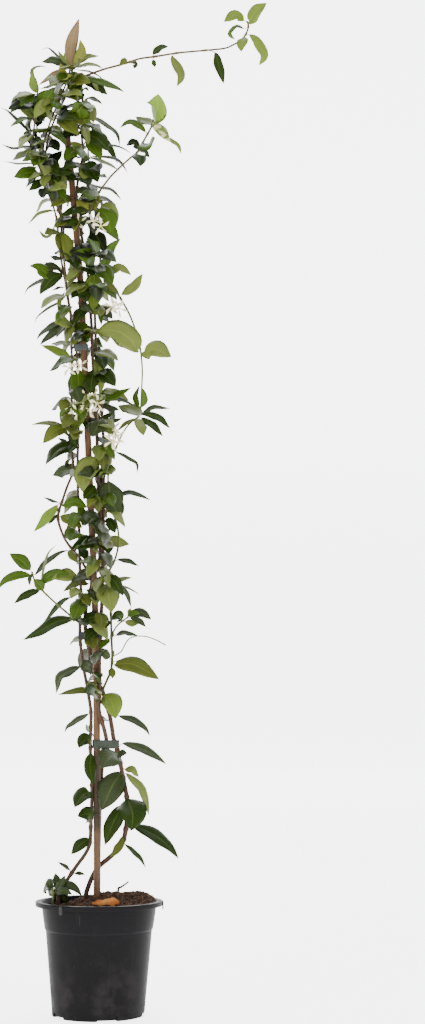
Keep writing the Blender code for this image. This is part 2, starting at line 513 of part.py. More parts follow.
def arc_lengths(points):
    total = [0.0]
    for a, b in zip(points, points[1:]):
        total.append(total[-1] + (b - a).length)
    return total


def at_length(points, lengths, s):
    """Point and tangent at arc length s."""
    i = 0
    while i < len(lengths) - 2 and lengths[i + 1] < s:
        i += 1
    span = lengths[i + 1] - lengths[i]
    t = (s - lengths[i]) / span
    before = points[max(i - 1, 0)]
    after = points[min(i + 2, len(points) - 1)]
    tangent = ((points[i + 1] - before).normalized() * (1 - t) + (after - points[i]).normalized() * t)
    return points[i].lerp(points[i + 1], t), tangent.normalized()


class Stem:
    """A stem's readings along its length, its real axis and its radius."""

    def __init__(self, points, foot, tip, step, parent=None):
        self.readings = smooth(points, step)
        self.axis = [sight(p) for p in self.readings]
        if parent:
            self.start_on(parent)
        lengths = arc_lengths(self.axis)
        self.radii = [foot + (tip - foot) * s / lengths[-1] for s in lengths]

    def start_on(self, parent):
        i = parent.nearest(self.readings[0])
        foot = parent.axis[i]
        along = (parent.axis[min(i + 1, len(parent.axis) - 1)] - parent.axis[max(i - 1, 0)]).normalized()
        out = self.axis[0] - foot
        out = (out - along * out.dot(along)).normalized()
        while (self.axis[0] - foot).length < parent.radii[i] + 3:
            self.axis.pop(0)
            self.readings.pop(0)
        for lift in (1.5, 0):
            self.axis.insert(0, foot + out * (parent.radii[i] + GAP + lift))
            self.readings.insert(0, self.readings[0].copy())

    def nearest(self, reading):
        x, z = reading[0], reading[-1]
        return min(range(len(self.axis)),
                   key=lambda i: (self.readings[i].x - x) ** 2 + (self.readings[i].z - z) ** 2)

    def nearest_height(self, z):
        return min(range(len(self.axis)), key=lambda i: abs(self.readings[i].z - z))

    def at_height(self, z):
        """Where the axis crosses a real height."""
        for a, b, r in zip(self.axis, self.axis[1:], self.radii):
            if (a.z - z) * (b.z - z) <= 0 and a.z != b.z:
                return a.lerp(b, (z - a.z) / (b.z - a.z)), r
        return None


def tube(name, axis, radii, sides, look, into):
    """A round stem as a bevelled curve, made a mesh with its caps welded."""
    curve = bpy.data.curves.new(name, "CURVE")
    curve.dimensions = "3D"
    curve.bevel_depth = SCALE
    curve.bevel_resolution = sides
    curve.use_fill_caps = True
    line = curve.splines.new("POLY")
    line.points.add(len(axis) - 1)
    for knot, point, radius in zip(line.points, axis, radii):
        knot.co = (*(point * SCALE), 1)
        knot.radius = radius
    draft = bpy.data.objects.new(name + "_curve", curve)
    into.objects.link(draft)
    mesh = evaluated_mesh(draft)
    bpy.data.objects.remove(draft, do_unlink=True)
    weld = bmesh.new()
    weld.from_mesh(mesh)
    bmesh.ops.remove_doubles(weld, verts=weld.verts, dist=1e-6)
    weld.to_mesh(mesh)
    weld.free()
    return add_object(name, mesh, look, into)


# Clearances: what stands already, as search trees with their boxes.
class Placed:
    def __init__(self, owner, points, faces):
        self.owner = owner
        self.low = [min(p[i] for p in points) for i in range(3)]
        self.high = [max(p[i] for p in points) for i in range(3)]
        self.tree = BVHTree.FromPolygons([tuple(p) for p in points], faces)

    def hits(self, other):
        if any(self.low[i] > other.high[i] or other.low[i] > self.high[i] for i in range(3)):
            return 0
        return len(self.tree.overlap(other.tree))


standing = []


def stand(made):
    mesh = made.data
    points = [v.co / SCALE for v in mesh.vertices]
    standing.append(Placed(made.name, points, [tuple(p.vertices) for p in mesh.polygons]))


# Leaves.
def width_at(u):
    """Half width of a blade over its greatest, from its base (0) to its pointed tip (1)."""
    return max(0.0, math.sin(math.pi * u ** 0.85)) ** 0.9 * (1 - 0.3 * u ** 4)


class Leaf:
    """A blade on its petiole: a lens section carried along a smooth line from the stem's axis."""

    def __init__(self, stem, row, depth_shift=0.0, turn_shift=0.0):
        flat, width, depth, turn = row
        i = stem.nearest((flat[0], flat[1]))
        foot = stem.readings[i]
        line = [(flat[k], flat[k + 1]) for k in range(0, len(flat), 2)]
        points = [Vector((foot.x, 0, foot.z))] + [Vector((x, 0, z)) for x, z in line]
        if (points[1] - points[0]).length < 2.5:
            points.pop(1)
        lengths = arc_lengths(points)
        if not isinstance(depth, tuple):
            full = min(width * LENGTH_OVER_WIDTH, LONGEST)
            hidden = math.sqrt(max(0.0, full ** 2 - lengths[-1] ** 2))
            depth = math.copysign(max(abs(depth), hidden), depth)
        for k, point in enumerate(points):
            s = lengths[k] / lengths[-1]
            if isinstance(depth, tuple):
                point.y = foot.y if k == 0 else depth[k - len(points)] + depth_shift * s
            else:
                point.y = foot.y + (depth + depth_shift) * (1 - (1 - s) ** 1.6)
        self.line = [sight(p) for p in smooth(points, LEAF_STEP)]
        self.line[0] = stem.axis[i]
        self.lengths = arc_lengths(self.line)
        total = self.lengths[-1]
        petiole = (points[1] - points[0]).length if len(points) == len(line) + 1 else 0
        self.start = min(max(petiole, stem.radii[i] + 2.8), 0.4 * total) / total
        self.width = width
        self.turn = math.radians(turn + turn_shift)
        mid = at_length(self.line, self.lengths, 0.6 * total)[1]
        up = mid.cross(Vector((0, 1, 0)))
        outward = 0.3 if self.line[-1].x > self.line[0].x else -0.3
        self.flip = 1 if up.dot(Vector((outward, 0, 1))) > 0 else -1

    def frame(self, s):
        """Centre, side and face direction at a share s of the length."""
        centre, along = at_length(self.line, self.lengths, s * self.lengths[-1])
        up = along.cross(Vector((0, 1, 0))).normalized() * self.flip
        front = Vector((0, -1, 0))
        front = (front - along * front.dot(along)).normalized()
        face = front * math.cos(self.turn) + up * math.sin(self.turn)
        return centre, along.cross(face), face

    def sections(self, slack, from_blade):
        shares = BROAD_SHARES
        if self.width <= 15:
            shares = MIDDLE_SHARES if self.width > 9 else NARROW_SHARES
        rows = [] if from_blade else [(0.0, PETIOLE_HALF, PETIOLE_HALF, 0)]
        for u in shares:
            half = max(PETIOLE_HALF, 0.5 * self.width * width_at(u))
            rows.append((self.start + (1 - self.start) * u, half + slack, BLADE_HALF + slack, FOLD * half))
        return rows

    def mesh(self, slack=0.0, from_blade=False):
        points = []
        rows = self.sections(slack, from_blade)
        for s, half, thick, rise in rows:
            centre, side, face = self.frame(s)
            points += [centre + side * half + face * rise, centre + face * thick,
                       centre - side * half + face * rise, centre - face * thick]
        points.append(self.line[-1])
        faces = [(0, 1, 2), (0, 2, 3)]
        for k in range(len(rows) - 1):
            a, b = 4 * k, 4 * k + 4
            for edge, rib in ((0, 1), (0, 3), (2, 1), (2, 3)):
                cells = [(a + edge, b + edge, b + rib), (a + edge, b + rib, a + rib)]
                if (edge, rib) in ((0, 1), (2, 3)):
                    cells = [cell[::-1] for cell in cells]
                faces += cells
        last, tip = 4 * (len(rows) - 1), len(points) - 1
        faces += [(last + i, tip, last + (i + 1) % 4)[::-1] for i in range(4)]
        return points, faces


TRIES = [(0, 0), (5, 0), (-5, 0), (-10, 0), (10, 0), (-15, 0), (15, 0), (-20, 20), (20, 20), (-26, 0), (26, 0),
         (0, 35), (-12, 35), (12, 35), (-34, 15), (34, 15), (-42, 0), (42, 0), (-52, 20), (52, 20)]


def clear_leaf(stem, owner, row):
    """The first try whose leaf clears all that stands; its blade also clears its own node."""
    best = None
    for depth_shift, turn_shift in TRIES:
        leaf = Leaf(stem, row, depth_shift, turn_shift)
        whole = Placed(owner, *leaf.mesh(SLACK))
        blade = Placed(owner, *leaf.mesh(SLACK, True))
        hits = sum((blade if other.owner == owner else whole).hits(other) for other in standing)
        if best is None or hits < best[0]:
            best = (hits, leaf)
        if hits == 0:
            break
    hits, leaf = best
    if hits:
        print("leaf still meets a neighbour:", owner, row[0], hits)
        return None
    return leaf


def back_rows():
    """Leaves that reach away from the front, by a seeded rule."""
    draw = random.Random(BACK_SEED)
    rows = {}
    for name, z in BACK_LEAVES:
        foot = stems[name].readings[stems[name].nearest_height(z)]
        x_reach = draw.uniform(-14, 14)
        drop = draw.uniform(2, 20)
        row = ((foot.x + 0.1 * x_reach, z, foot.x + x_reach, z - drop), draw.uniform(17, 23),
               draw.uniform(32, 46), draw.uniform(150, 200))
        rows.setdefault(name, []).append(row)
    return rows


def pieces_joined(body, pieces):
    boolean(body, "UNION", pieces, "MANIFOLD")
    remove_collection(pieces)


# The planter and its soil.
def pot_radius(z):
    """Outer radius of the pot's wall at a height."""
    if z <= POT_STEP_Z:
        return POT_BASE_R + (POT_STEP_R[0] - POT_BASE_R) * z / POT_STEP_Z
    share = (z - POT_STEP_Z) / (POT_HEIGHT - LIP_DROP - POT_STEP_Z)
    return POT_STEP_R[1] + (POT_NECK_R - POT_STEP_R[1]) * share


def build_pot(parts, cutters):
    under = POT_HEIGHT - LIP_DROP
    inner = [(pot_radius(z) - POT_WALL, z) for z in (POT_FLOOR, POT_STEP_Z - 1, POT_STEP_Z + 1, under)]
    profile = [(0, POT_FLOOR)] + inner + [(POT_NECK_R + 0.6, POT_HEIGHT)]
    profile += [(POT_RIM_R - 1, POT_HEIGHT), (POT_RIM_R, POT_HEIGHT - 1.2), (POT_RIM_R - 0.4, under),
                (POT_RIM_R - 2, under), (POT_RIM_R - 2, under + 3.6), (POT_NECK_R + 0.4, under + 3.2),
                (POT_NECK_R, under), (POT_STEP_R[1], POT_STEP_Z + 0.8), (POT_STEP_R[0], POT_STEP_Z),
                (POT_BASE_R, 0), (0, 0)]
    pot = turned("pot", profile, POT_STEPS, "pot", parts)
    for i in range(NOTCH_COUNT):
        angle = NOTCH_FIRST + i * 2 * math.pi / NOTCH_COUNT
        reach = POT_BASE_R + 4
        bpy.ops.mesh.primitive_cube_add(size=SCALE, rotation=(0, 0, angle))
        notch = bpy.context.object
        notch.scale = (18, NOTCH_WIDTH, 2 * NOTCH_HEIGHT)
        notch.location = Vector((math.cos(angle) * reach, math.sin(angle) * reach, 0)) * SCALE
        move_to(notch, cutters)
    boolean(pot, "DIFFERENCE", cutters)
    lugs = collection("lugs")
    for angle in LUG_ANGLES:
        radius = POT_RIM_R - 0.6 + LUG_SIZE[0] / 4
        bpy.ops.mesh.primitive_cube_add(size=SCALE, rotation=(0, 0, angle))
        lug = bpy.context.object
        lug.scale = (LUG_SIZE[0] / 2, LUG_SIZE[1], LUG_SIZE[2])
        lug.location = Vector((math.cos(angle) * radius, math.sin(angle) * radius,
                               POT_HEIGHT + 0.2 - LUG_SIZE[2] / 2)) * SCALE
        move_to(lug, lugs)
    boolean(pot, "UNION", lugs)
    remove_collection(lugs)
    pot.data.set_sharp_from_angle(angle=math.radians(35))
    return pot


def move_to(made, group):
    for old in list(made.users_collection):
        old.objects.unlink(made)
    group.objects.link(made)


def soil_height(x, y):
    """Top of the soil: low on the left, mounded behind the middle, with small lumps."""
    mound = 10 * math.exp(-((x - 12) / 32) ** 2 - ((y - 18) / 46) ** 2)
    hollow = -9 / (1 + math.exp((x + 40) / 7))
    lumps = 1.1 * math.sin(0.31 * x + 1.3) * math.cos(0.27 * y) + 0.7 * math.sin(0.53 * y + 0.4 * x)
    return SOIL_LEVEL + mound + hollow + lumps


def build_soil(parts, cutters, holes):
    def edge(z):
        return pot_radius(z) - POT_WALL - GAP
    top = [(r, SOIL_LEVEL) for r in SOIL_RINGS[1:]]
    side = [(edge(141), SOIL_LEVEL - 2), (edge(POT_STEP_Z + 1), POT_STEP_Z + 1.4),
            (edge(POT_STEP_Z - 1), POT_STEP_Z - 0.6), (edge(POT_FLOOR), POT_FLOOR + GAP)]
    profile = [(0, SOIL_LEVEL)] + top + side + [(0, POT_FLOOR + GAP)]
    soil = turned("soil", profile, POT_STEPS, "soil", parts)
    for vertex in soil.data.vertices:
        x, y, z = vertex.co / SCALE
        if z > SOIL_LEVEL - 4:
            radius = math.hypot(x, y)
            rim = min(1.0, max(0.0, (radius - 60) / 14))
            height = soil_height(x, y)
            height += (min(height, SOIL_LEVEL - 2) - height) * rim
            inward = min(1.0, edge(min(height, 141)) / max(radius, 1))
            vertex.co = Vector((x * inward, y * inward, height)) * SCALE
    for x, y, radius, foot in holes:
        bpy.ops.mesh.primitive_cylinder_add(vertices=10, radius=(radius + GAP + 0.15) * SCALE, depth=80 * SCALE,
                                            location=Vector((x, y, foot - GAP + 40)) * SCALE)
        move_to(bpy.context.object, cutters)
    boolean(soil, "DIFFERENCE", cutters)
    return soil


def build_chip(parts):
    """A chip of bark lying on the soil at the front."""
    centre = Vector((12, -50, 0))
    points = []
    for x, y, top in ((-18, -3, 2), (-6, -7, 4), (10, -6, 5.5), (17, -2, 6), (14, 5, 5), (-2, 7, 4), (-15, 4, 2.5)):
        here = centre + Vector((x, y, 0))
        low = max(soil_height(here.x + dx, here.y + dy) for dx in (-3, 0, 3) for dy in (-3, 0, 3)) + GAP
        points.append(Vector((here.x, here.y, low + 0.2)))
        points.append(Vector((here.x * 0.98, here.y * 0.98, low + top)))
    count = len(points) // 2
    faces = [tuple(range(0, 2 * count, 2))[::-1], tuple(range(1, 2 * count, 2))]
    faces += [(2 * i, 2 * ((i + 1) % count), 2 * ((i + 1) % count) + 1, 2 * i + 1) for i in range(count)]
    chip = solid("bark_chip", points, faces, "bark", parts)
    for polygon in chip.data.polygons:
        polygon.use_smooth = False
    cut = bmesh.new()
    cut.from_mesh(chip.data)
    bmesh.ops.triangulate(cut, faces=cut.faces)
    cut.to_mesh(chip.data)
    cut.free()
    return chip


def build_twig(parts):
    axis = [Vector(p) for p in TWIG]
    radii = [TWIG_R, TWIG_R, TWIG_R - 0.1, TWIG_R - 0.2, TWIG_R - 0.3]
    return tube("twig", axis, radii, 1, "twig", parts)


# The cane and what binds it.
def cane_stem():
    return Stem(CANE, CANE_R, CANE_R, CANE_STEP)


def build_cane(parts):
    axis, radii = [], []
    for point in cane.axis:
        axis.append(point)
        radii.append(CANE_R)
    for z in CANE_NODES:
        for lift, swell in ((-2.5, 0), (0, NODE_SWELL), (2.5, 0)):
            point, _ = cane.at_height(z + lift)
            i = sum(1 for p in axis if p.z < point.z)
            axis.insert(i, point)
            radii.insert(i, CANE_R + swell)
    return tube("cane", axis, radii, 2, "cane", parts)


def tie_ring(z, tape, names, extra):
    """Outline points of a tape pulled round the circles it binds, inner and outer."""
    circles = []
    for stem in [cane] + [stems[name] for name in names]:
        swell = NODE_SWELL if stem is cane and any(abs(z - n) < tape for n in CANE_NODES) else 0
        for lift in (-tape / 2, 0, tape / 2):
            point, radius = stem.at_height(z + lift)
            circles.append((point.x, point.y, radius + swell))
    circles += [(x, y, 1.0) for x, y in extra]
    turns = [2 * math.pi * k / TIE_STEPS for k in range(TIE_STEPS)]
    reach = [max(x * math.cos(a) + y * math.sin(a) + r for x, y, r in circles) + GAP for a in turns]
    return [(corner(turns, reach, k, 0), corner(turns, reach, k, TIE_THICK)) for k in range(TIE_STEPS)]


def corner(turns, reach, k, grow):
    """Where two neighbouring sides of the ring meet, each square to its turn at its reach."""
    j = (k + 1) % len(turns)
    det = math.sin(turns[j] - turns[k])
    a, b = reach[k] + grow, reach[j] + grow
    return ((a * math.sin(turns[j]) - b * math.sin(turns[k])) / det,
            (b * math.cos(turns[k]) - a * math.cos(turns[j])) / det)


def build_tie(name, z, tape, names, extra, parts):
    points, faces = [], []
    ring = tie_ring(z, tape, names, extra)
    for inner, outer in ring:
        for (x, y), level in ((inner, z - tape / 2), (inner, z + tape / 2), (outer, z + tape / 2),
                              (outer, z - tape / 2)):
            points.append(Vector((x, y, level)))
    count = len(ring)
    for k in range(count):
        a, b = 4 * k, 4 * ((k + 1) % count)
        for i in range(4):
            j = (i + 1) % 4
            faces.append((a + i, a + j, b + j, b + i))
    return solid(name, points, faces, "tie", parts)


# Flowers.
def star(centre, sideways, upward):
    """An open flower: five blunt petals turned like a pinwheel, as a thin plate, and the way it faces."""
    face = Vector((math.sin(math.radians(sideways)), -1, math.sin(math.radians(upward)))).normalized()
    side = face.cross(Vector((0, 0, 1))).normalized()
    up = side.cross(face)
    outline = []
    for k in range(PETALS):
        base = 2 * math.pi * k / PETALS + centre.x
        for turn, reach in ((-18, 0.2), (-12, 0.92), (13, 1.0)):
            angle = base + math.radians(turn)
            outline.append((math.cos(angle) * reach * STAR_R, math.sin(angle) * reach * STAR_R))
    points = []
    for thick in (PETAL_HALF, -PETAL_HALF):
        points.append(centre + face * thick)
        points += [centre + side * a + up * b + face * (thick + 0.1 * math.hypot(a, b)) for a, b in outline]
    count = len(outline)
    faces = []
    for i in range(count):
        j = (i + 1) % count
        faces.append((0, 1 + i, 1 + j))
        faces.append((count + 1, count + 2 + j, count + 2 + i))
        faces.append((1 + i, count + 2 + i, count + 2 + j, 1 + j))
    return points, faces, face


def build_flowers(name, stalk, blooms, parts):
    stem = Stem(stalk, *STALK_R, THIN_STEM_STEP, stems[PARENTS[name]])
    body = tube(name, stem.axis, stem.radii, 0, "petal", parts)
    pieces = collection(name + "_pieces")
    for number, (x, z, depth, sideways, upward) in enumerate(blooms):
        for nearer in (0, -3, -6, -9, -12, -16, -20):
            centre = sight((x, depth + nearer, z))
            points, faces, face = star(centre, sideways, upward)
            grown = [centre + (p - centre) * 1.06 for p in points]
            if not any(Placed(name, grown, faces).hits(other) for other in standing):
                break
        else:
            print("flower still meets a neighbour:", name, number)
            continue
        solid(name + "_star", points, faces, "petal", pieces)
        standing.append(Placed(name, points, faces))
        back = centre - face * NECK
        line = [stem.axis[-1], back, centre + face * 0.2]
        radii = [STALK_R[1] - 0.05, NECK_R, NECK_R]
        tube(name + "_stalk", line, radii, 0, "petal", pieces)
    pieces_joined(body, pieces)
    stand(body)
    return body


def build_leafy(name, rows, parts, pending):
    body = pending[name]
    pieces = collection(name + "_leaves")
    count = 0
    for row in rows:
        leaf = clear_leaf(stems[name], name, row)
        if leaf is None:
            continue
        solid(name + "_leaf", *leaf.mesh(), "leaf", pieces)
        standing.append(Placed(name, *leaf.mesh()))
        count += 1
    pieces_joined(body, pieces)
    print(name, count, "leaves")


clear_scene()
parts = collection("star_jasmine")
cutters = collection("cutters")
soil_cutters = collection("soil_cutters")
cane = cane_stem()
stems = {}
for stem_name, (route, foot_r, tip_r) in STEMS.items():
    parent = stems.get(PARENTS.get(stem_name))
    stems[stem_name] = Stem(route, foot_r, tip_r, STEM_STEP if foot_r > 1 else THIN_STEM_STEP, parent)

build_pot(parts, cutters)
planted = [cane] + [stems[n] for n in ("stem_a", "stem_b", "stem_c", "low_sprig")]
hole_list = [(s.axis[0].x, s.axis[0].y, s.radii[0], s.axis[0].z) for s in planted]
hole_list.append((TWIG[0][0], TWIG[0][1], TWIG_R, TWIG[0][2]))
build_soil(parts, soil_cutters, hole_list)
build_chip(parts)
build_twig(parts)
build_cane(parts)
for tie_name, (height, tape, bound, extra) in TIES.items():
    build_tie(tie_name, height, tape, bound, extra, parts)
bodies = {}
for stem_name, stem in stems.items():
    bodies[stem_name] = tube(stem_name, stem.axis, stem.radii, 0, "leaf", parts)
for made in list(parts.objects):
    stand(made)
for flower_name, (stalk, blooms) in FLOWERS.items():
    build_flowers(flower_name, stalk, blooms, parts)
rows_behind = back_rows()
for stem_name, rows in LEAVES.items():
    build_leafy(stem_name, rows + rows_behind.get(stem_name, []), parts, bodies)
for group in (cutters, soil_cutters):
    remove_collection(group)
print("triangles", sum(len(p.vertices) - 2 for made in parts.objects for p in made.data.polygons))
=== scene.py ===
import math
import random

import bpy
import numpy as np
from mathutils.kdtree import KDTree
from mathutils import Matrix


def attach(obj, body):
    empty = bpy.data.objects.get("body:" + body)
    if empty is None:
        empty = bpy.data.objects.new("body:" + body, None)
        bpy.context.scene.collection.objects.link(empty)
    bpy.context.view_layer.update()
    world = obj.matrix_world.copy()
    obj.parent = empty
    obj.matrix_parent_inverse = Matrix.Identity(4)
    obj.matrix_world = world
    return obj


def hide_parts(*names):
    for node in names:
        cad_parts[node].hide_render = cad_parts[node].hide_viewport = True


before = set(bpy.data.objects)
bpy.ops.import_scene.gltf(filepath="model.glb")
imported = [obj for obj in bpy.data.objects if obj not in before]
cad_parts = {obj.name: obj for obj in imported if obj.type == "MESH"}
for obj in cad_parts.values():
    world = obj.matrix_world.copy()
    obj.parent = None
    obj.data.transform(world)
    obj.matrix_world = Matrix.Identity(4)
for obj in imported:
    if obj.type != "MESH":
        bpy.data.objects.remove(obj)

# Star jasmine on a bamboo cane in a nursery pot. Lengths are millimetres until a mesh is made.
# Layout readings (x, z) lie in the plane y = 0 and are moved along the sight line of eyePoint to their depth.
millimetre = 0.001
eyePoint = np.array((151.0, -2400.0, 385.0))
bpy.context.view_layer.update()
print("frame loaded, nodes:", len(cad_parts))

# Each stem: points (x, depth, z) up its length, radius at foot and tip. x and z are layout readings.
stemRoutes = {
    "stem_a": ([(-18, 6, 110), (-18, 6, 154), (-14, 7, 168), (-9, 9, 180), (-3, 10, 190), (4, 9, 197),
        (14, 6, 205), (25, 2, 216), (32, 0, 228), (35, 0, 242), (37, 0, 262), (36, 0, 285), (31, 0, 310),
        (27, 0, 330), (23, 1, 347), (18, 2, 362), (15, 2, 380), (11, 3, 400), (7, 6, 414), (2, 9, 426),
        (-4, 10, 440), (-10, 9, 452), (-14, 7, 472), (-19, 4, 495), (-22, 3, 520), (-20, 5, 545),
        (-15, 9, 562), (-12, 10, 578), (-6, 9, 592), (-2, 7, 612), (-2, 6, 635), (-3, 5, 660),
        (-4.5, 4, 690), (-6, 3, 725), (-7, 2, 760), (-9, 2, 790), (-12, 2, 830), (-13, 2, 860),
        (-15, 2, 890), (-16, 2, 920), (-18, 2, 950), (-20, 3, 985), (-23, 5, 1010), (-29, 7, 1045),
        (-35, 8, 1080), (-39, 8, 1110), (-37, 6, 1140), (-33, 4, 1158), (-31, 2, 1180), (-33, 2, 1215),
        (-31, 2, 1245), (-34, 0, 1275), (-34, -3, 1286), (-22, -6, 1292), (0, -8, 1300), (18, -10, 1305),
        (34, -10, 1310), (49, -10, 1315), (70, -8, 1318), (100, -4, 1323), (140, 4, 1327), (168, 8, 1330),
        (180, 8, 1335), (190, 6, 1341), (198, 4, 1350), (202, 2, 1362), (200, 0, 1370)], 2.3, 0.85),
    "stem_b": ([(-55, -14, 110), (-55, -14, 150), (-53, -14, 157), (-46, -12, 170), (-37, -10, 184),
        (-28, -8, 197), (-18, -7, 211), (-13, -6, 224), (-12, -3, 245), (-11, -2, 280), (-11.5, -2, 320),
        (-13.5, -2, 350), (-13, -1, 378), (-13, 0, 398), (-16, 0, 418), (-20, -1, 440), (-24, -2, 460),
        (-28, -3, 490), (-29, -3, 520), (-28, -2, 560), (-30, -2, 600), (-31, -2, 640), (-32, -2, 665),
        (-33, -2, 690), (-34, 0, 724), (-34, 2, 760), (-33, 4, 800), (-34, 4, 840), (-36, 2, 880),
        (-38, 0, 905), (-41, 0, 930), (-46, 0, 950), (-50, 0, 970), (-53, 0, 1000), (-56, 0, 1025),
        (-62, 0, 1045), (-65, 0, 1070), (-67, 0, 1085), (-73, 0, 1105), (-81, 0, 1125), (-87, 0, 1145),
        (-93, 2, 1160), (-98, 4, 1180), (-101, 4, 1200), (-98, 2, 1225), (-95, 0, 1245), (-95, -2, 1260),
        (-97, -3, 1276)], 1.8, 0.8),
    "stem_c": ([(-2, 17, 110), (-2, 17, 154), (-2, 17, 195), (-1, 13, 230), (0, 10, 280), (3, 7, 330),
        (8, 3, 357), (6, -4, 371), (2, -8.5, 385), (-2, -9.5, 400), (-2, -9.5, 440), (-2, -9.5, 475),
        (-1, -9, 505), (0, -6, 530), (1, -3, 560), (1.5, -3, 600), (2, -3, 650), (1, 0, 690), (2, 6, 722),
        (2, 8, 750), (0, 9, 790), (-3, 9, 830), (-6, 9, 860), (-9, 9, 890), (-11, 9, 920), (-12, 9, 950),
        (-12, 9, 985), (-14, 8, 1010), (-18, 5, 1050), (-20, 3, 1075), (-20, 0, 1092), (-15, -2, 1107),
        (-8, -4, 1120), (0, -6, 1132), (10, -8, 1145), (28, -8, 1163), (38, -8, 1172), (46, -6, 1179),
        (53, -4, 1192), (60, -2, 1205), (66, 0, 1217), (68, 0, 1226)], 2.2, 0.9),
    "stem_d": ([(-18, 12.5, 583), (-22, 10, 593), (-28, 6.5, 604), (-34, 4.5, 612), (-42, 4, 621),
        (-50, 2, 632), (-57, 0, 648), (-60, -2, 660), (-59, -2, 672), (-55, -2, 684), (-50, -1, 700),
        (-45, 0, 713), (-41, 0, 724), (-40.5, 0, 740), (-43, 0, 760), (-44, 0, 785), (-43, 0, 820),
        (-43, 2, 860), (-44, 3, 900), (-45, 6, 930), (-47, 7, 955), (-52, 7, 985), (-57, 7, 1010),
        (-61, 6, 1035), (-60, 5, 1060), (-60, 5, 1080), (-66, 5, 1100), (-74, 5, 1122), (-80, 4, 1145),
        (-83, 4, 1170), (-81, 2, 1190), (-78, 0, 1206), (-70, -4, 1228), (-62, -8, 1246), (-57, -7, 1257),
        (-51, -2, 1280), (-46, 0, 1300)], 1.3, 0.9),
    "stem_e": ([(-58.5, -3, 1030), (-59, -5, 1042), (-57, -5.5, 1058), (-57, -5.5, 1080), (-63, -5.5, 1100),
        (-71, -5, 1122), (-78, -5, 1145), (-85, -4, 1170), (-86, -4, 1190), (-82, -5, 1206), (-75, -8, 1228),
        (-66, -11, 1250), (-61, -9, 1262), (-55, -6, 1280), (-50, -3, 1298)], 1.1, 0.85),
    "shoot_twining": ([(4, -3, 431), (8, -4, 440), (13, -4, 452), (15, -4, 465), (15, -4, 480),
        (14, -4, 500), (13, -4, 530), (11, -4, 555), (8, -3, 574), (10, -2, 588), (16, 0, 600), (21, 2, 615),
        (23, 2, 635), (20, 2, 655), (15, 2, 668), (11, 1, 682), (8.5, 0, 700), (8, 0, 722), (11, -1, 738),
        (14, -2, 750), (18, -2, 758), (23, -3, 770), (33, -4, 788), (42, -4, 797), (49, -4, 802)], 1.2, 0.8),
    "shoot_left": ([(-31.5, -5, 519), (-36, -7, 523), (-50, -9, 535), (-62, -11, 545), (-75, -12, 557),
        (-85, -12, 567), (-92, -12, 578), (-95, -12, 588)], 1.1, 0.8),
    "shoot_hanging": ([(-11, 6.5, 1008.5), (-8, 5, 1009), (-2, 2, 1006), (5, 0, 999), (13, -3, 986),
        (24, -6, 968), (36, -8, 946), (45, -8, 922), (51, -8, 898), (54, -6, 870), (53.5, -3, 845),
        (52.5, 1, 822), (52, 3, 812)], 1.1, 0.75),
    "shoot_right": ([(16.3, -5.5, 506), (19, -7, 511), (23, -8, 516), (29, -9, 521),
        (36, -10, 526)], 0.9, 0.7),
    "shoot_inner": ([(-19.5, -2.6, 1096), (-20, -5, 1102), (-20, -6, 1120), (-20, -6, 1140), (-22, -5, 1165),
        (-24, -5, 1186)], 0.9, 0.7),
    "tendril": ([(17.3, -5, 473), (20, -6, 475), (27, -7, 479), (32, -7, 488), (37, -7, 496), (46, -7, 500),
        (60, -6, 500), (75, -4, 495), (88, -2, 488)], 0.65, 0.6),
    "low_sprig": ([(-62, -20, 112), (-62, -20, 140), (-61.5, -20, 150), (-61, -20, 158),
        (-62, -20, 164)], 1.2, 0.9),
}

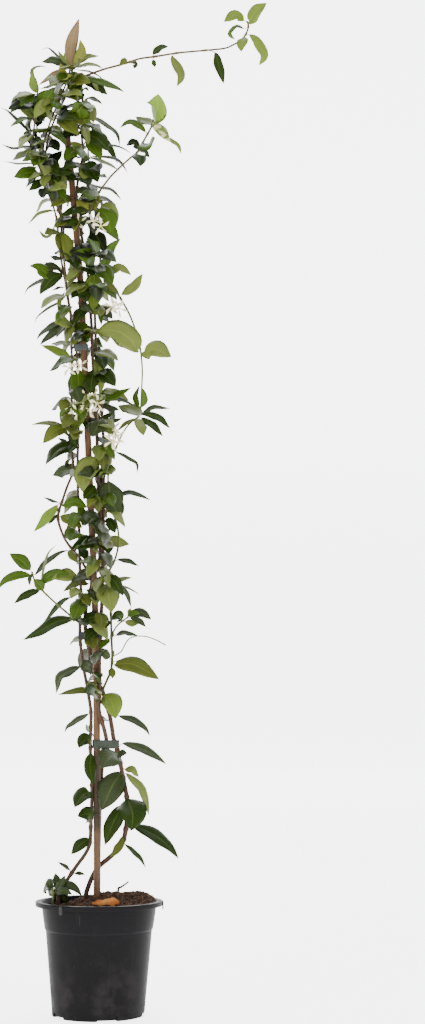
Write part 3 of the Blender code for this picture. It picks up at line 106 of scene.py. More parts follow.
# Each leaf: readings (x, z) from blade base to tip, width, depth of the tip from its base, turn of the
# upper face from the front (0) over upright (90) to the back (180), and tone.
leafReadings = {
    "stem_a": [
    ((45, 247, 70, 236, 90, 222, 106, 203), 19, -20, 45, "d"),
    ((37, 283, 44, 262, 42, 240), 34, -22, 15, "d"), ((31, 272, 18, 250, 7, 221), 22, -12, 30, "d"),
    ((31, 232, 26, 218, 14, 205), 13, -14, 40, "o"), ((29, 316, 17, 300, 2, 267), 32, -20, 20, "g"),
    ((33, 321, 43, 321, 52, 311), 12, 8, 60, "p"), ((34, 316, 48, 303, 58, 292, 66, 260), 14, 14, 50, "p"),
    ((22, 344, 14, 338, 1, 323), 28, -16, 15, "g"), ((24, 342, 30, 343, 36, 343), 10, -12, 30, "g"),
    ((30, 356, 50, 351, 72, 341, 89, 328), 15, -6, 60, "g"),
    ((34, 222, 45, 213, 55, 203, 62, 191), 8, 10, 70, "d"),
    ((24, 393, 42, 388, 58, 379, 67, 366), 12, 12, 70, "g"), ((5, 422, 15, 411, 20, 389), 25, -14, 20, "y"),
    ((-18, 572, -32, 574, -52, 561), 14, -16, 40, "o"), ((-9, 704, -16, 698, -26, 688), 18, -14, 15, "d"),
    ((-10, 746, -24, 725, -27, 698), 27, (-7.4, -7.6, -10), 5, "p"),
    ((-14, 866, -17, 858, -20, 842), 12, -14, 25, "o"), ((-11, 884, -4, 862, -3, 834), 14, -12, 25, "p"),
    ((-6, 834, 12, 830, 25, 836, 39, 843), 13, -12, 35, "m"), ((-6, 826, 20, 827, 45, 818), 10, -6, 60, "d"),
    ((-4, 798, -7, 790, -14, 774), 25, -16, 15, "g"), ((-11, 891, 0, 890, 12, 892), 12, -12, 35, "d"),
    ((-10, 886, -3, 880, 1, 868), 12, -8, 30, "d"), ((-21, 952, -26, 955, -35, 946), 13, -14, 20, "d"),
    ((-35, 1208, -50, 1206, -64, 1196), 15, -14, 25, "k"),
    ((-28, 1206, -10, 1198, 5, 1180), 24, -14, 20, "d"),
    ((-27, 1204, -8, 1200, 8, 1182, 18, 1163), 14, 10, 35, "d"),
    ((-27, 1195, -15, 1186, -5, 1168), 18, -20, 20, "m"),
    ((-33, 1178, -39, 1186, -49, 1193), 14, -12, 20, "o"),
    ((-27, 1188, 5, 1188, 22, 1186, 38, 1176), 8, 12, 60, "d"),
    ((-28, 1230, -10, 1226, 6, 1215, 17, 1204, 21, 1188), 12, -10, 50, "d"),
    ((-28, 1206, -18, 1209, -8, 1210), 6, 14, 50, "m"), ((-36, 1171, -41, 1173, -48, 1167), 8, -14, 40, "d"),
    ((-28, 1256, -16, 1256, -4, 1248), 12, -8, 50, "g"),
    ((-35, 1228, -37, 1240, -43, 1252), 25, -14, 15, "m"),
    ((-30, 1232, -27, 1222, -28, 1206), 14, -16, 25, "y"),
    ((-37, 1260, -42, 1263, -49, 1268), 15, -12, 20, "d"),
    ((-31, 1288, -12, 1282, 10, 1275, 27, 1266), 14, -6, 35, "m"),
    ((-32, 1269, -28, 1272, -23, 1267), 6, -6, 40, "g"), ((30, 1307, 27, 1313, 20, 1303), 9, -8, 30, "o"),
    ((37, 1308, 42, 1308, 41, 1300), 9, 8, 30, "d"), ((67, 1321, 76, 1330, 89, 1333), 13, -8, 30, "d"),
    ((67, 1314, 68, 1310, 70, 1302), 7, 8, 30, "d"),
    ((95, 1319, 99, 1307, 107, 1291, 101, 1274), 14, -10, 30, "p"),
    ((154, 1324, 160, 1305, 167, 1278), 13, 8, 25, "d"),
    ((202, 1368, 211, 1382, 228, 1397), 20, -8, 20, "y"),
    ((196, 1371, 184, 1379, 167, 1369), 16, -8, 20, "y"),
    ((196, 1359, 185, 1362, 175, 1352, 183, 1343), 9, 8, 40, "m"),
    ((196, 1346, 193, 1338, 192, 1325), 14, -8, 20, "y"),
    ((203, 1350, 215, 1339, 224, 1320, 217, 1305), 15, 6, 25, "y")],
    "stem_b": [
    ((-14, 361, -22, 360, -29, 350), 18, -12, 30, "d"), ((-12, 343, -14, 325, -9, 301), 16, -12, 30, "d"),
    ((-12, 291, -22, 288, -34, 271), 22, -12, 35, "d"), ((-12, 259, -19, 262, -30, 259), 18, -10, 30, "d"),
    ((-14, 228, -23, 224, -38, 209), 15, -10, 30, "d"), ((-39, 187, -47, 194, -56, 199), 6, 8, 65, "g"),
    ((-33, 184, -28, 184, -19, 182), 6, -8, 65, "d"),
    ((-15, 396, -30, 388, -44, 379, -48, 370), 11, 10, 65, "g"),
    ((-28, 459, -45, 452, -56, 444, -60, 423), 17, -12, 50, "g"),
    ((-38, 523, -60, 520, -84, 507, -106, 495), 19, -8, 40, "d"),
    ((-27, 521, -12, 526, 10, 523), 16, -20, 25, "d"), ((-30, 558, -23, 553, -15, 540), 14, -12, 30, "o"),
    ((-42, 553, -52, 549, -62, 538, -79, 518), 11, 12, 55, "d"),
    ((-28, 622, -24, 612, -20, 602), 13, -14, 30, "d"), ((-36, 656, -42, 648, -50, 637), 14, 8, 30, "o"),
    ((-35, 690, -39, 692, -46, 688), 13, 8, 20, "g"), ((-30, 680, -27, 668, -26, 650), 11, -10, 30, "m"),
    ((-35, 782, -41, 775, -36, 760), 14, -12, 25, "d"), ((-29, 814, -32, 800, -43, 781), 16, -14, 20, "y"),
    ((-34, 868, -34, 850, -30, 827), 21, -14, 15, "m"),
    ((-50, 936, -70, 931, -85, 920, -93, 910), 13, -4, 45, "g"),
    ((-48, 934, -70, 920, -88, 903), 15, -16, 35, "g"),
    ((-62, 1001, -80, 1004, -90, 1014, -104, 1015), 19, -12, 30, "m"),
    ((-58, 1004, -70, 1017, -84, 1020), 9, 10, 55, "g"),
    ((-62, 999, -85, 994, -103, 986, -110, 975), 11, 12, 60, "g"),
    ((-60, 1024, -66, 1026, -75, 1029), 10, 8, 40, "d"),
    ((-70, 1093, -80, 1094, -94, 1088, -106, 1075), 9, -6, 45, "p"),
    ((-69, 1071, -76, 1058, -84, 1058, -91, 1066), 9, 6, 45, "p"),
    ((-105, 1207, -120, 1222, -135, 1237, -147, 1243), 8, -8, 65, "d"),
    ((-105, 1204, -111, 1208, -113, 1198), 6, -6, 40, "g"),
    ((-103, 1186, -118, 1186, -130, 1184, -145, 1190), 9, 6, 50, "d"),
    ((-102, 1180, -114, 1176, -129, 1167), 16, -12, 25, "w"),
    ((-99, 1162, -120, 1162, -141, 1165), 8, 12, 50, "w"),
    ((-96, 1157, -108, 1153, -121, 1142), 12, -8, 35, "p"),
    ((-95, 1231, -86, 1250, -72, 1270), 31, -14, 15, "m"),
    ((-99, 1230, -104, 1243, -99, 1263), 17, 10, 25, "m"),
    ((-101, 1228, -112, 1238, -127, 1256), 11, -6, 30, "p"),
    ((-95, 1264, -101, 1277, -104, 1295), 12, -8, 25, "y"),
    ((-99, 1281, -104, 1297, -93, 1304, -83, 1302), 7, 8, 40, "o"),
    ((-93, 1223, -83, 1230, -63, 1226), 7, -14, 50, "d")],
    "stem_c": [
    ((-6, 423, -30, 427, -58, 421), 12, -4, 55, "o"), ((-4, 630, -22, 628, -42, 620), 21, -18, 30, "d"),
    ((2, 629, 6, 624, 10, 613), 18, -12, 25, "d"), ((4, 656, 10, 657, 18, 641), 14, -10, 25, "d"),
    ((4, 760, 6, 745, 2, 722), 12, 10, 40, "p"), ((3, 776, 9, 762, 8, 744), 14, -10, 30, "d"),
    ((-1, 817, 8, 815, 23, 812), 13, 12, 40, "g"), ((2, 790, 14, 796, 27, 800), 10, 12, 45, "d"),
    ((0, 800, 6, 803, 13, 807), 10, -12, 40, "d"), ((-14, 1016, -23, 1028, -41, 1036), 23, -16, 20, "m"),
    ((-8, 1016, 2, 1021, 9, 1040, 23, 1054), 14, -12, 30, "m"),
    ((-17, 1066, -9, 1055, 2, 1034), 20, -14, 20, "k"),
    ((-19, 1094, -28, 1101, -39, 1108), 24, -12, 20, "t"),
    ((-16, 1096, -15, 1106, -9, 1121), 18, -16, 20, "t"), ((-9, 1096, 4, 1085, 10, 1060), 24, -14, 20, "m"),
    ((-6, 1099, 8, 1098, 18, 1075), 18, 8, 30, "p"), ((-24, 1091, -40, 1094, -61, 1088), 14, -18, 25, "d"),
    ((-13, 1004, -14, 985, -15, 951), 24, -18, 15, "y"), ((-11, 964, -5, 951, -3, 931), 10, -16, 30, "m"),
    ((47, 1182, 41, 1193, 30, 1188), 12, -8, 25, "k"), ((45, 1176, 49, 1169, 50, 1158), 17, -10, 20, "d"),
    ((48, 1179, 55, 1180, 63, 1171), 12, 8, 25, "d"), ((54, 1190, 60, 1189, 71, 1199), 22, -10, 20, "m"),
    ((59, 1206, 50, 1215, 36, 1223, 21, 1214), 13, -12, 35, "m"),
    ((64, 1218, 56, 1224, 43, 1230), 16, 8, 25, "o"), ((68, 1229, 73, 1242, 75, 1263), 29, -6, 10, "l"),
    ((69, 1225, 77, 1212, 92, 1193), 18, -10, 20, "c"),
    ((88, 1200, 96, 1193, 103, 1189, 107, 1176), 8, 8, 35, "p")],
    "stem_d": [
    ((-42, 618, -40, 610, -33, 600), 12, -8, 30, "p"),
    ((-61, 680, -70, 669, -80, 657, -93, 643), 16, -10, 35, "l"),
    ((-60, 683, -72, 687, -81, 691), 6, 8, 55, "g"), ((-62, 667, -67, 660, -74, 653), 7, -4, 40, "g"),
    ((-54, 680, -38, 684, -20, 676), 15, -14, 25, "m"), ((-57, 664, -42, 659, -27, 648), 16, -16, 25, "o"),
    ((-46, 759, -60, 760, -70, 753, -77, 740), 14, -8, 50, "o"),
    ((-46, 775, -56, 786, -75, 794, -99, 791), 12, 8, 50, "o"),
    ((-46, 787, -51, 802, -48, 824), 17, -10, 20, "m"), ((-46, 766, -54, 769, -62, 773), 6, -6, 40, "g"),
    ((-45, 884, -60, 893, -86, 903), 14, -10, 35, "y"),
    ((-55, 977, -61, 966, -61, 954, -53, 949), 7, -10, 30, "p"),
    ((-54, 970, -78, 954, -92, 943, -95, 934), 7, 10, 65, "g"),
    ((-55, 985, -63, 984, -72, 980), 7, -8, 50, "d"), ((-66, 1228, -54, 1221, -37, 1203), 21, -12, 20, "o"),
    ((-81, 1186, -73, 1190, -64, 1180), 17, -12, 20, "k"),
    ((-80, 1162, -71, 1169, -60, 1181), 15, 14, 20, "k"),
    ((-47, 1303, -49, 1332, -38, 1374), 22, -6, 10, "b"),
    ((-44, 1303, -34, 1325, -36, 1343), 17, -10, 20, "z"),
    ((-42, 1305, -28, 1317, -9, 1319), 13, 6, 35, "p"), ((-41, 1302, -20, 1307, -3, 1300), 11, -6, 45, "p"),
    ((-42, 1299, -20, 1295, -7, 1288, -3, 1280), 6, 10, 50, "g"),
    ((-56, 1262, -72, 1269, -90, 1262), 13, 12, 35, "o")],
    "stem_e": [
    ((-63, 1064, -58, 1046, -58, 1028), 17, -12, 20, "o"),
    ((-56, 1062, -51, 1045, -50, 1019), 15, -18, 20, "o"),
    ((-86, 1176, -91, 1171, -100, 1158), 21, -12, 15, "m"),
    ((-80, 1139, -92, 1133, -106, 1123), 15, -12, 25, "d"),
    ((-76, 1152, -66, 1135, -53, 1107), 16, -14, 25, "m"),
    ((-87, 1192, -93, 1197, -103, 1196), 11, -8, 30, "d"),
    ((-53, 1303, -64, 1315, -80, 1330, -91, 1328), 6, 8, 45, "d"),
    ((-54, 1302, -65, 1313, -79, 1318), 7, -4, 40, "p"),
    ((-54, 1306, -72, 1312, -90, 1310), 15, -10, 25, "g"),
    ((-55, 1301, -72, 1292, -94, 1276), 14, -14, 25, "b"),
    ((-48, 1295, -54, 1290, -70, 1286), 23, -20, 15, "m"),
    ((-60, 1278, -74, 1276, -92, 1270), 10, 8, 45, "m"),
    ((-54, 1306, -61, 1316, -67, 1327), 6, -14, 30, "p")],
    "shoot_twining": [
    ((18, 462, 40, 463, 60, 454, 79, 442), 22, -12, 30, "o"),
    ((18, 466, 36, 469, 50, 470, 65, 459), 6, 8, 55, "g"), ((13, 457, 15, 452, 16, 443), 9, -8, 20, "o"),
    ((12, 471, 6, 476, -2, 483), 12, -14, 25, "g"), ((11, 497, 5, 492, -4, 483), 10, -14, 30, "m"),
    ((20, 501, 32, 505, 50, 501), 10, -6, 55, "d"), ((10, 575, 26, 578, 42, 580), 10, 8, 50, "p"),
    ((13, 573, 24, 570, 34, 558, 41, 539), 10, -6, 50, "g"), ((6, 571, 9, 557, 14, 533), 27, -14, 15, "p"),
    ((16, 572, 30, 568, 42, 563, 53, 556), 5, 6, 50, "w"), ((10, 522, 4, 516, -4, 507), 12, -14, 30, "d"),
    ((21, 604, 35, 603, 51, 596), 10, 6, 60, "d"), ((14, 605, 8, 608, -3, 607), 6, -10, 55, "g"),
    ((9, 712, 11, 694, 22, 664), 30, -14, 15, "g"), ((17, 689, 40, 697, 67, 686), 11, 10, 60, "d"),
    ((18, 686, 26, 680, 27, 665), 10, -8, 45, "d"), ((18, 754, 35, 745, 47, 737, 48, 724), 8, 8, 60, "d"),
    ((47, 803, 40, 812, 21, 818), 21, 8, 30, "p"), ((46, 800, 35, 795, 19, 782), 9, -8, 50, "o"),
    ((51, 799, 52, 790, 56, 776), 16, -8, 30, "p"), ((53, 804, 68, 815, 93, 814), 10, 8, 45, "d"),
    ((54, 806, 75, 802, 93, 786), 12, -6, 35, "d"), ((53, 801, 68, 791, 83, 775), 12, -14, 35, "d")],
    "shoot_left": [
    ((-95, 590, -108, 602, -126, 613), 16, -8, 20, "m"),
    ((-97, 584, -118, 583, -132, 576, -141, 564), 13, -6, 30, "m"),
    ((-83, 571, -72, 582, -58, 586, -43, 585), 15, -8, 25, "m"),
    ((-79, 563, -84, 570, -93, 578), 13, -18, 15, "m"), ((-85, 562, -102, 557, -119, 545), 12, 10, 30, "d"),
    ((-91, 584, -76, 601, -60, 613, -44, 618), 11, 10, 45, "g"),
    ((-96, 585, -98, 578, -98, 569), 6, -8, 30, "g"),
    ((-83, 572, -78, 598, -73, 614, -62, 625), 5, -12, 45, "w")],
    "shoot_hanging": [
    ((50, 815, 45, 830, 50, 846), 10, 10, 45, "m"), ((53, 814, 57, 828, 53, 844), 11, -8, 40, "m"),
    ((48, 894, 36, 912, 14, 924, -12, 920), 33, -12, 20, "p"),
    ((55, 892, 72, 897, 94, 886), 25, -8, 20, "p"), ((7, 1002, 22, 1013, 38, 1002), 14, 8, 30, "p"),
    ((26, 974, 40, 984, 54, 1004), 15, 10, 25, "p"), ((1, 998, 8, 988, 22, 973), 12, -10, 35, "o")],
    "shoot_right": [
    ((31, 520, 40, 518, 53, 519), 10, 6, 30, "p"), ((37, 527, 52, 533, 68, 523), 13, -6, 30, "g"),
    ((38, 525, 50, 522, 61, 513), 9, 8, 30, "g"), ((35, 528, 38, 533, 40, 539), 6, -4, 30, "p"),
    ((27, 522, 23, 528, 15, 522), 14, -8, 20, "d"), ((36, 529, 44, 532, 52, 531), 9, -16, 20, "m")],
    "shoot_inner": [
    ((-21, 1171, -2, 1165, 21, 1152), 11, -12, 45, "w"),
    ((-18, 1172, 10, 1171, 22, 1164, 32, 1149), 9, 8, 50, "g"),
    ((-22, 1139, -27, 1139, -35, 1135), 9, -6, 35, "p"),
    ((-17, 1131, -3, 1127, 12, 1123, 24, 1109), 9, 8, 55, "g")],
    "low_sprig": [
    ((-63, 163, -66, 168, -68, 176), 10, -4, 15, "g"), ((-60, 163, -57, 172, -59, 184), 10, 8, 20, "g"),
    ((-59, 162, -51, 170, -46, 181), 10, -6, 20, "g"),
    ((-58, 160, -45, 168, -33, 165, -23, 154), 11, -12, 30, "g"),
    ((-58, 158, -48, 161, -36, 156), 10, -20, 25, "g")],
}

# Open flowers of each cluster: readings (x, z), depth, and the turn of the face to the side and up.
flowerReadings = {
    "flowers_main": ([(-13, -0.6, 848), (-14, -8, 846), (-18, -16, 838), (-24, -20, 828)],
                     [(-29, 827, -27, 0, 10), (-42, 819, -20, -40, 0), (-19, 812, -26, 10, -30),
                      (-13, 833, -22, 35, 30), (-35, 808, -23, -20, -35), (-8, 821, -20, 45, 0)]),
    "flowers_top": ([(-18, -3, 1082), (-15, -7, 1081), (-12, -12, 1079)],
                    [(-14, 1080, -18, -10, 10), (-5, 1072, -14, 30, -20), (-36, 1078, -16, -30, 0)]),
    "flowers_mid": ([(10, -5.6, 987), (9, -9, 982), (10, -12, 973), (14, -14, 962)],
                    [(12, 957, -18, -10, 10), (21, 955, -13, 40, 0)]),
    "flowers_left": ([(-39, 1.0, 885), (-40.5, -4, 881), (-42, -8, 877), (-40, -12, 873)],
                     [(-46, 871, -15, -30, 0), (-33, 874, -16, 10, 20)]),
    "flowers_right": ([(22, -5, 775), (20, -8, 777), (17, -12, 779)],
                      [(13, 785, -16, -20, 20), (19, 775, -18, 20, -10), (13, 768, -14, -10, -30)]),
}

# What each side shoot and each flower cluster grows from.
growsFrom = {"stem_d": "stem_a", "stem_e": "stem_b", "shoot_twining": "stem_a", "shoot_left": "stem_b",
             "shoot_hanging": "stem_c", "shoot_right": "shoot_twining", "shoot_inner": "stem_c",
             "tendril": "shoot_twining", "flowers_main": "stem_a", "flowers_top": "stem_c",
             "flowers_mid": "shoot_hanging", "flowers_left": "stem_d", "flowers_right": "shoot_twining"}

# Height, tape width and bound stems of each tie, with small circles that keep room for a leaf.
tieSettings = {"tie_1": (355, 11, ["stem_c", "stem_a"], []),
               "tie_2": (501, 9, ["stem_b", "stem_a", "stem_c"], []),
               "tie_3": (724, 9.5, ["stem_b", "stem_d", "stem_a"], [(-36, -9.4), (-14, -9.4)]),
               "tie_4": (899, 9, ["stem_b"], []), "tie_5": (1008, 7, [], []),
               "tie_6": (1076, 11, ["stem_a", "stem_b", "stem_d", "stem_e"], [])}

caneSettings = {"radius": 4.75, "nodes": (262, 455, 632, 800, 962, 1112), "swell": 0.9, "sides": 28,
                "nodeRings": (-2.4, -1.4, -0.8, -0.3, 0.3, 0.9, 1.6), "leastGap": 0.15, "step": 80.0,
                "cutEnd": 0.4, "sharp": math.radians(60),
                "route": [(-3, 0, 104), (-3.2, 0, 200), (-4.3, 0, 310), (-5.3, 0, 414), (-9, 0, 550),
                          (-16, 0, 687), (-26.7, 0, 896), (-33, 0, 998), (-44, 0, 1117), (-49.5, 0, 1170),
                          (-58, 0, 1246)]}

# Leaves on the far side of the column, drawn by a seeded rule: stem and height of each.
farLeaves = [("stem_b", 262), ("stem_b", 372), ("stem_a", 470), ("stem_b", 545), ("stem_c", 600),
             ("stem_a", 668), ("stem_c", 745), ("stem_c", 812), ("stem_b", 850), ("stem_c", 905),
             ("stem_d", 935), ("stem_c", 975), ("stem_a", 1040), ("stem_a", 1120), ("stem_d", 1160),
             ("stem_a", 1215)]
farSettings = {"seed": 11, "reach": (-14, 14), "drop": (2, 20), "width": (17, 23), "depth": (32, 46),
               "turn": (150, 200), "tone": "m"}

# Colours of the leaves' upper faces, from dark old blades to fresh and bronze young ones.
# The grey of tone g is partly painted sheen: a dark green blade with a grey sheen painted into its colour.
leafTones = {"d": (0.0115, 0.0225, 0.0022), "k": (0.0050, 0.0085, 0.0020), "g": (0.0230, 0.0320, 0.0115),
             "m": (0.0330, 0.0620, 0.0050), "o": (0.0620, 0.0760, 0.0110), "p": (0.0980, 0.1220, 0.0260),
             "y": (0.0900, 0.1300, 0.0180), "l": (0.0900, 0.1450, 0.0150), "t": (0.1000, 0.1050, 0.0150),
             "b": (0.1500, 0.0980, 0.0500), "z": (0.1050, 0.1150, 0.0180), "w": (0.1000, 0.1150, 0.0600),
             "c": (0.4600, 0.4400, 0.2200)}


def unit(vectors):
    return vectors / np.linalg.norm(vectors, axis=-1, keepdims=True)


def blend(first, second, share):
    return np.multiply(first, 1 - share) + np.multiply(second, share)


def fullTurn(count):
    return np.linspace(0, 2 * math.pi, count, endpoint=False)


def squared(wave, power):
    # a sine or cosine pushed outwards, so that a circle becomes a squarish ring
    return np.sign(wave) * np.abs(wave) ** power


def levelRing(radius, turns, z):
    return np.stack(np.broadcast_arrays(radius * np.cos(turns), radius * np.sin(turns), z), -1)


def withEnds(values):
    # the values of a shape's rings, with the first and the last again for its two end points
    return np.vstack([values, values[:1], values[-1:]])


def sightPoint(points):
    points = np.asarray(points, float)
    share = (points[..., 1:2] - eyePoint[1]) / -eyePoint[1]
    moved = eyePoint + (points - eyePoint) * share
    moved[..., 1] = points[..., 1]
    return moved


def smoothPath(points, step):
    # Catmull-Rom curve through the points, about one step apart
    knots = np.asarray(points, float)
    knots = np.vstack([2 * knots[0] - knots[1], knots, 2 * knots[-1] - knots[-2]])
    pieces = []
    for a, b, c, d in zip(knots, knots[1:], knots[2:], knots[3:]):
        count = max(1, round(float(np.linalg.norm(c - b)) / step))
        t = (np.arange(count) / count)[:, None]
        pieces.append(0.5 * (2 * b + (c - a) * t + (2 * a - 5 * b + 4 * c - d) * t ** 2
                             + (3 * b - a - 3 * c + d) * t ** 3))
    return np.vstack(pieces + [knots[-2]])


def runningLength(points):
    return np.concatenate([[0.0], np.cumsum(np.linalg.norm(np.diff(points, axis=0), axis=1))])


def pathShares(points):
    lengths = runningLength(points)
    return lengths / lengths[-1]


def alongPath(points, lengths, s):
    # points and unit tangents at the arc lengths s
    s = np.atleast_1d(s)
    i = np.searchsorted(lengths[1:-1], s, side="left")
    t = ((s - lengths[i]) / (lengths[i + 1] - lengths[i]))[:, None]
    before, after = points[np.maximum(i - 1, 0)], points[np.minimum(i + 2, len(points) - 1)]
    tangent = blend(unit(points[i + 1] - before), unit(after - points[i]), t)
    return blend(points[i], points[i + 1], t), unit(tangent)


def closedShape(rings, foot=None, tip=None):
    # points and faces: quads between neighbouring rings, and a fan on a centre point at each end
    count, sides = rings.shape[:2]
    ends = [rings[0].mean(0) if foot is None else foot, rings[-1].mean(0) if tip is None else tip]
    i, j = np.meshgrid(np.arange(count - 1), np.arange(sides), indexing="ij")
    k = (j + 1) % sides
    near, far = i * sides, (i + 1) * sides
    quads = np.stack([near + j, near + k, far + k, far + j], -1).reshape(-1, 4)
    j, k, lastRing = j[0], k[0], (count - 1) * sides
    footFan = np.stack([k, j, np.full(sides, count * sides)], -1)
    tipFan = np.stack([j + lastRing, k + lastRing, np.full(sides, count * sides + 1)], -1)
    return np.vstack([rings.reshape(-1, 3), ends]), [quads, footFan, tipFan]


def tubeShape(centres, radii, sides, reference=(0, 1, 0)):
    # rings of a round tube: centre + radius * (side * cos + other * sin)
    tangents = unit(np.gradient(centres, axis=0))
    side = unit(np.cross(tangents, np.asarray(reference, float)))
    other = np.cross(tangents, side)
    radii, turns = np.broadcast_to(radii, len(centres)), fullTurn(sides)[:, None]
    around = side[:, None] * np.cos(turns) + other[:, None] * np.sin(turns)
    return closedShape(centres[:, None] + radii[:, None, None] * around, centres[0], centres[-1])


def lensProfile(across):
    # once round a thin lens: the place from edge to edge, and 1 above, -1 below and 0 on the edges
    top = np.linspace(-1, 1, across)
    sheet = np.concatenate([np.ones(across), -np.ones(across - 2)])
    sheet[[0, across - 1]] = 0
    return np.concatenate([top, top[-2:0:-1]]), sheet


def addObject(name, data):
    made = bpy.data.objects.new(name, data)
    bpy.context.scene.collection.objects.link(made)
    return made


class Batch:
    # closed shapes gathered into one mesh, with a UV pair and a tint for each point
    def __init__(self):
        self.points, self.faces, self.uvs, self.tints, self.count = [], [], [], [], 0

    def add(self, shape, tints=(1, 1, 1), uvs=(0.5, 0.5)):
        points, faces = shape
        for part in faces:
            self.faces += (part + self.count).tolist()
        tints = np.broadcast_to(tints, (len(points), np.shape(tints)[-1]))
        self.points.append(points)
        self.uvs.append(np.broadcast_to(uvs, (len(points), 2)))
        self.tints.append(np.column_stack([tints, np.ones((len(points), 4 - tints.shape[1]))]))
        self.count += len(points)
        return self

    def build(self, name, finish, slotName, *replaced):
        mesh = bpy.data.meshes.new(name)
        mesh.from_pydata((np.vstack(self.points) * millimetre).tolist(), [], self.faces)
        corners = np.zeros(len(mesh.loops), np.int32)
        mesh.loops.foreach_get("vertex_index", corners)
        uvLayer = mesh.uv_layers.new(name="surface")
        uvLayer.data.foreach_set("uv", np.vstack(self.uvs)[corners].astype(np.float32).ravel())
        tint = mesh.attributes.new("tint", "FLOAT_COLOR", "POINT")
        tint.data.foreach_set("color", np.vstack(self.tints).astype(np.float32).ravel())
        mesh.polygons.foreach_set("use_smooth", np.ones(len(mesh.polygons), bool))
        mesh.materials.append(finishes[finish])
        mesh.validate()
        made = addObject(name, mesh)
        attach(made, "root")
        if replaced:
            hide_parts(*replaced)
        return made


class Level:
    # a shader value that can be added, multiplied and so on
    def __init__(self, finish, socket):
        self.finish, self.socket = finish, socket

    def step(self, operation, *others):
        return self.finish.node("ShaderNodeMath", {"operation": operation}, [self, *others])

    def __add__(self, other):
        return self.step("ADD", other)

    def __sub__(self, other):
        return self.step("SUBTRACT", other)

    def __mul__(self, other):
        return self.step("MULTIPLY", other)

    def __rsub__(self, other):
        return self.finish.node("ShaderNodeMath", {"operation": "SUBTRACT"}, [other, self])

    __radd__, __rmul__ = __add__, __mul__

    def fade(self, start, end):
        # 0 at start and 1 at end, eased
        return self.finish.node("ShaderNodeMapRange", {"interpolation_type": "SMOOTHSTEP"},
                                {"Value": self, "From Min": start, "From Max": end})


class Finish:
    def __init__(self, name, roughness, **fixed):
        self.material = bpy.data.materials.new(name)
        self.material.use_nodes = True
        self.tree = self.material.node_tree
        self.shader = self.tree.nodes["Principled BSDF"]
        self.shader.inputs["Roughness"].default_value = roughness
        for key, value in fixed.items():
            self.shader.inputs[key.replace("_", " ")].default_value = value

    def node(self, kind, settings, values, output=0):
        made = self.tree.nodes.new(kind)
        for key, value in settings.items():
            setattr(made, key, value)
        for key, value in (enumerate(values) if isinstance(values, list) else values.items()):
            if isinstance(value, Level):
                self.tree.links.new(value.socket, made.inputs[key])
            else:
                made.inputs[key].default_value = value
        return Level(self, made.outputs[output])

    def place(self):
        return self.node("ShaderNodeTexCoord", {}, {}, "Object")

    def noise(self, scale, detail=3.0, stretch=(1, 1, 1), roughness=0.55):
        where = self.node("ShaderNodeMapping", {"vector_type": "POINT"},
                          {"Vector": self.place(), "Scale": stretch})
        return self.node("ShaderNodeTexNoise", {"noise_dimensions": "3D"},
                         {"Vector": where, "Scale": scale, "Detail": detail, "Roughness": roughness}, "Fac")

    def axes(self, vector):
        return [self.node("ShaderNodeSeparateXYZ", {}, {"Vector": vector}, k) for k in range(3)]

    def mix(self, share, first, second):
        return self.node("ShaderNodeMix", {"data_type": "RGBA", "clamp_factor": True},
                         {0: share, 6: first, 7: second}, 2)

    def bright(self, colour, amount):
        # the colour with its value multiplied by an amount
        return self.node("ShaderNodeVectorMath", {"operation": "SCALE"}, {"Vector": colour, "Scale": amount})

    def tint(self, output="Color"):
        return self.node("ShaderNodeAttribute", {"attribute_name": "tint"}, {}, output)

    def feed(self, name, level):
        self.tree.links.new(level.socket, self.shader.inputs[name])

    def paint(self, colour):
        self.feed("Base Color", colour)

    def bump(self, height, strength, distance):
        values = {"Height": height, "Strength": strength, "Distance": distance}
        self.feed("Normal", self.node("ShaderNodeBump", {}, values))


def shadeLeaf(made):
    # rib and side veins follow the blade's own UV: u along it, v across from edge to edge
    u, v, _ = made.axes(made.node("ShaderNodeUVMap", {"uv_map": "surface"}, {}))
    across = (v - 0.5).step("ABSOLUTE") * 2
    rib = 1 - across.fade(0.02, 0.1)
    wave = ((u * 9 - across * 2.6).step("FRACT") - 0.5).step("ABSOLUTE")
    veins = (1 - wave.fade(0.0, 0.12)) * (1 - across.fade(0.55, 0.95))
    mottle = made.noise(60, 4)
    blade = made.bright(made.tint(), mottle * 0.55 + 0.74)
    paler = made.bright(made.mix(0.2, made.tint(), (0.16, 0.22, 0.05, 1)), 1.4)
    colour = made.mix(rib * 0.45, made.mix(veins * 0.14, blade, paler), paler)
    creamy = made.axes(made.tint())[0].fade(0.3, 0.4)
    blotches = made.noise(140, 2).fade(0.46, 0.56) * creamy
    made.paint(made.mix(blotches, colour, (0.10, 0.15, 0.03, 1)))
    made.feed("Roughness", 0.58 - made.tint("Alpha") * 0.24 + mottle * 0.08)
    made.bump(mottle * 0.3 - veins * 0.35 - rib * 0.6, 0.35, 0.0006)


def shadeStem(made):
    grain = made.noise(220, 4, (1, 1, 0.22))
    made.paint(made.bright(made.tint(), grain * 0.9 + 0.55))
    made.bump(grain, 0.4, 0.0005)


def shadePetal(made):
    vein = made.noise(300, 2)
    made.paint(made.bright(made.tint(), vein * 0.2 + 0.9))
    made.bump(vein, 0.15, 0.0003)


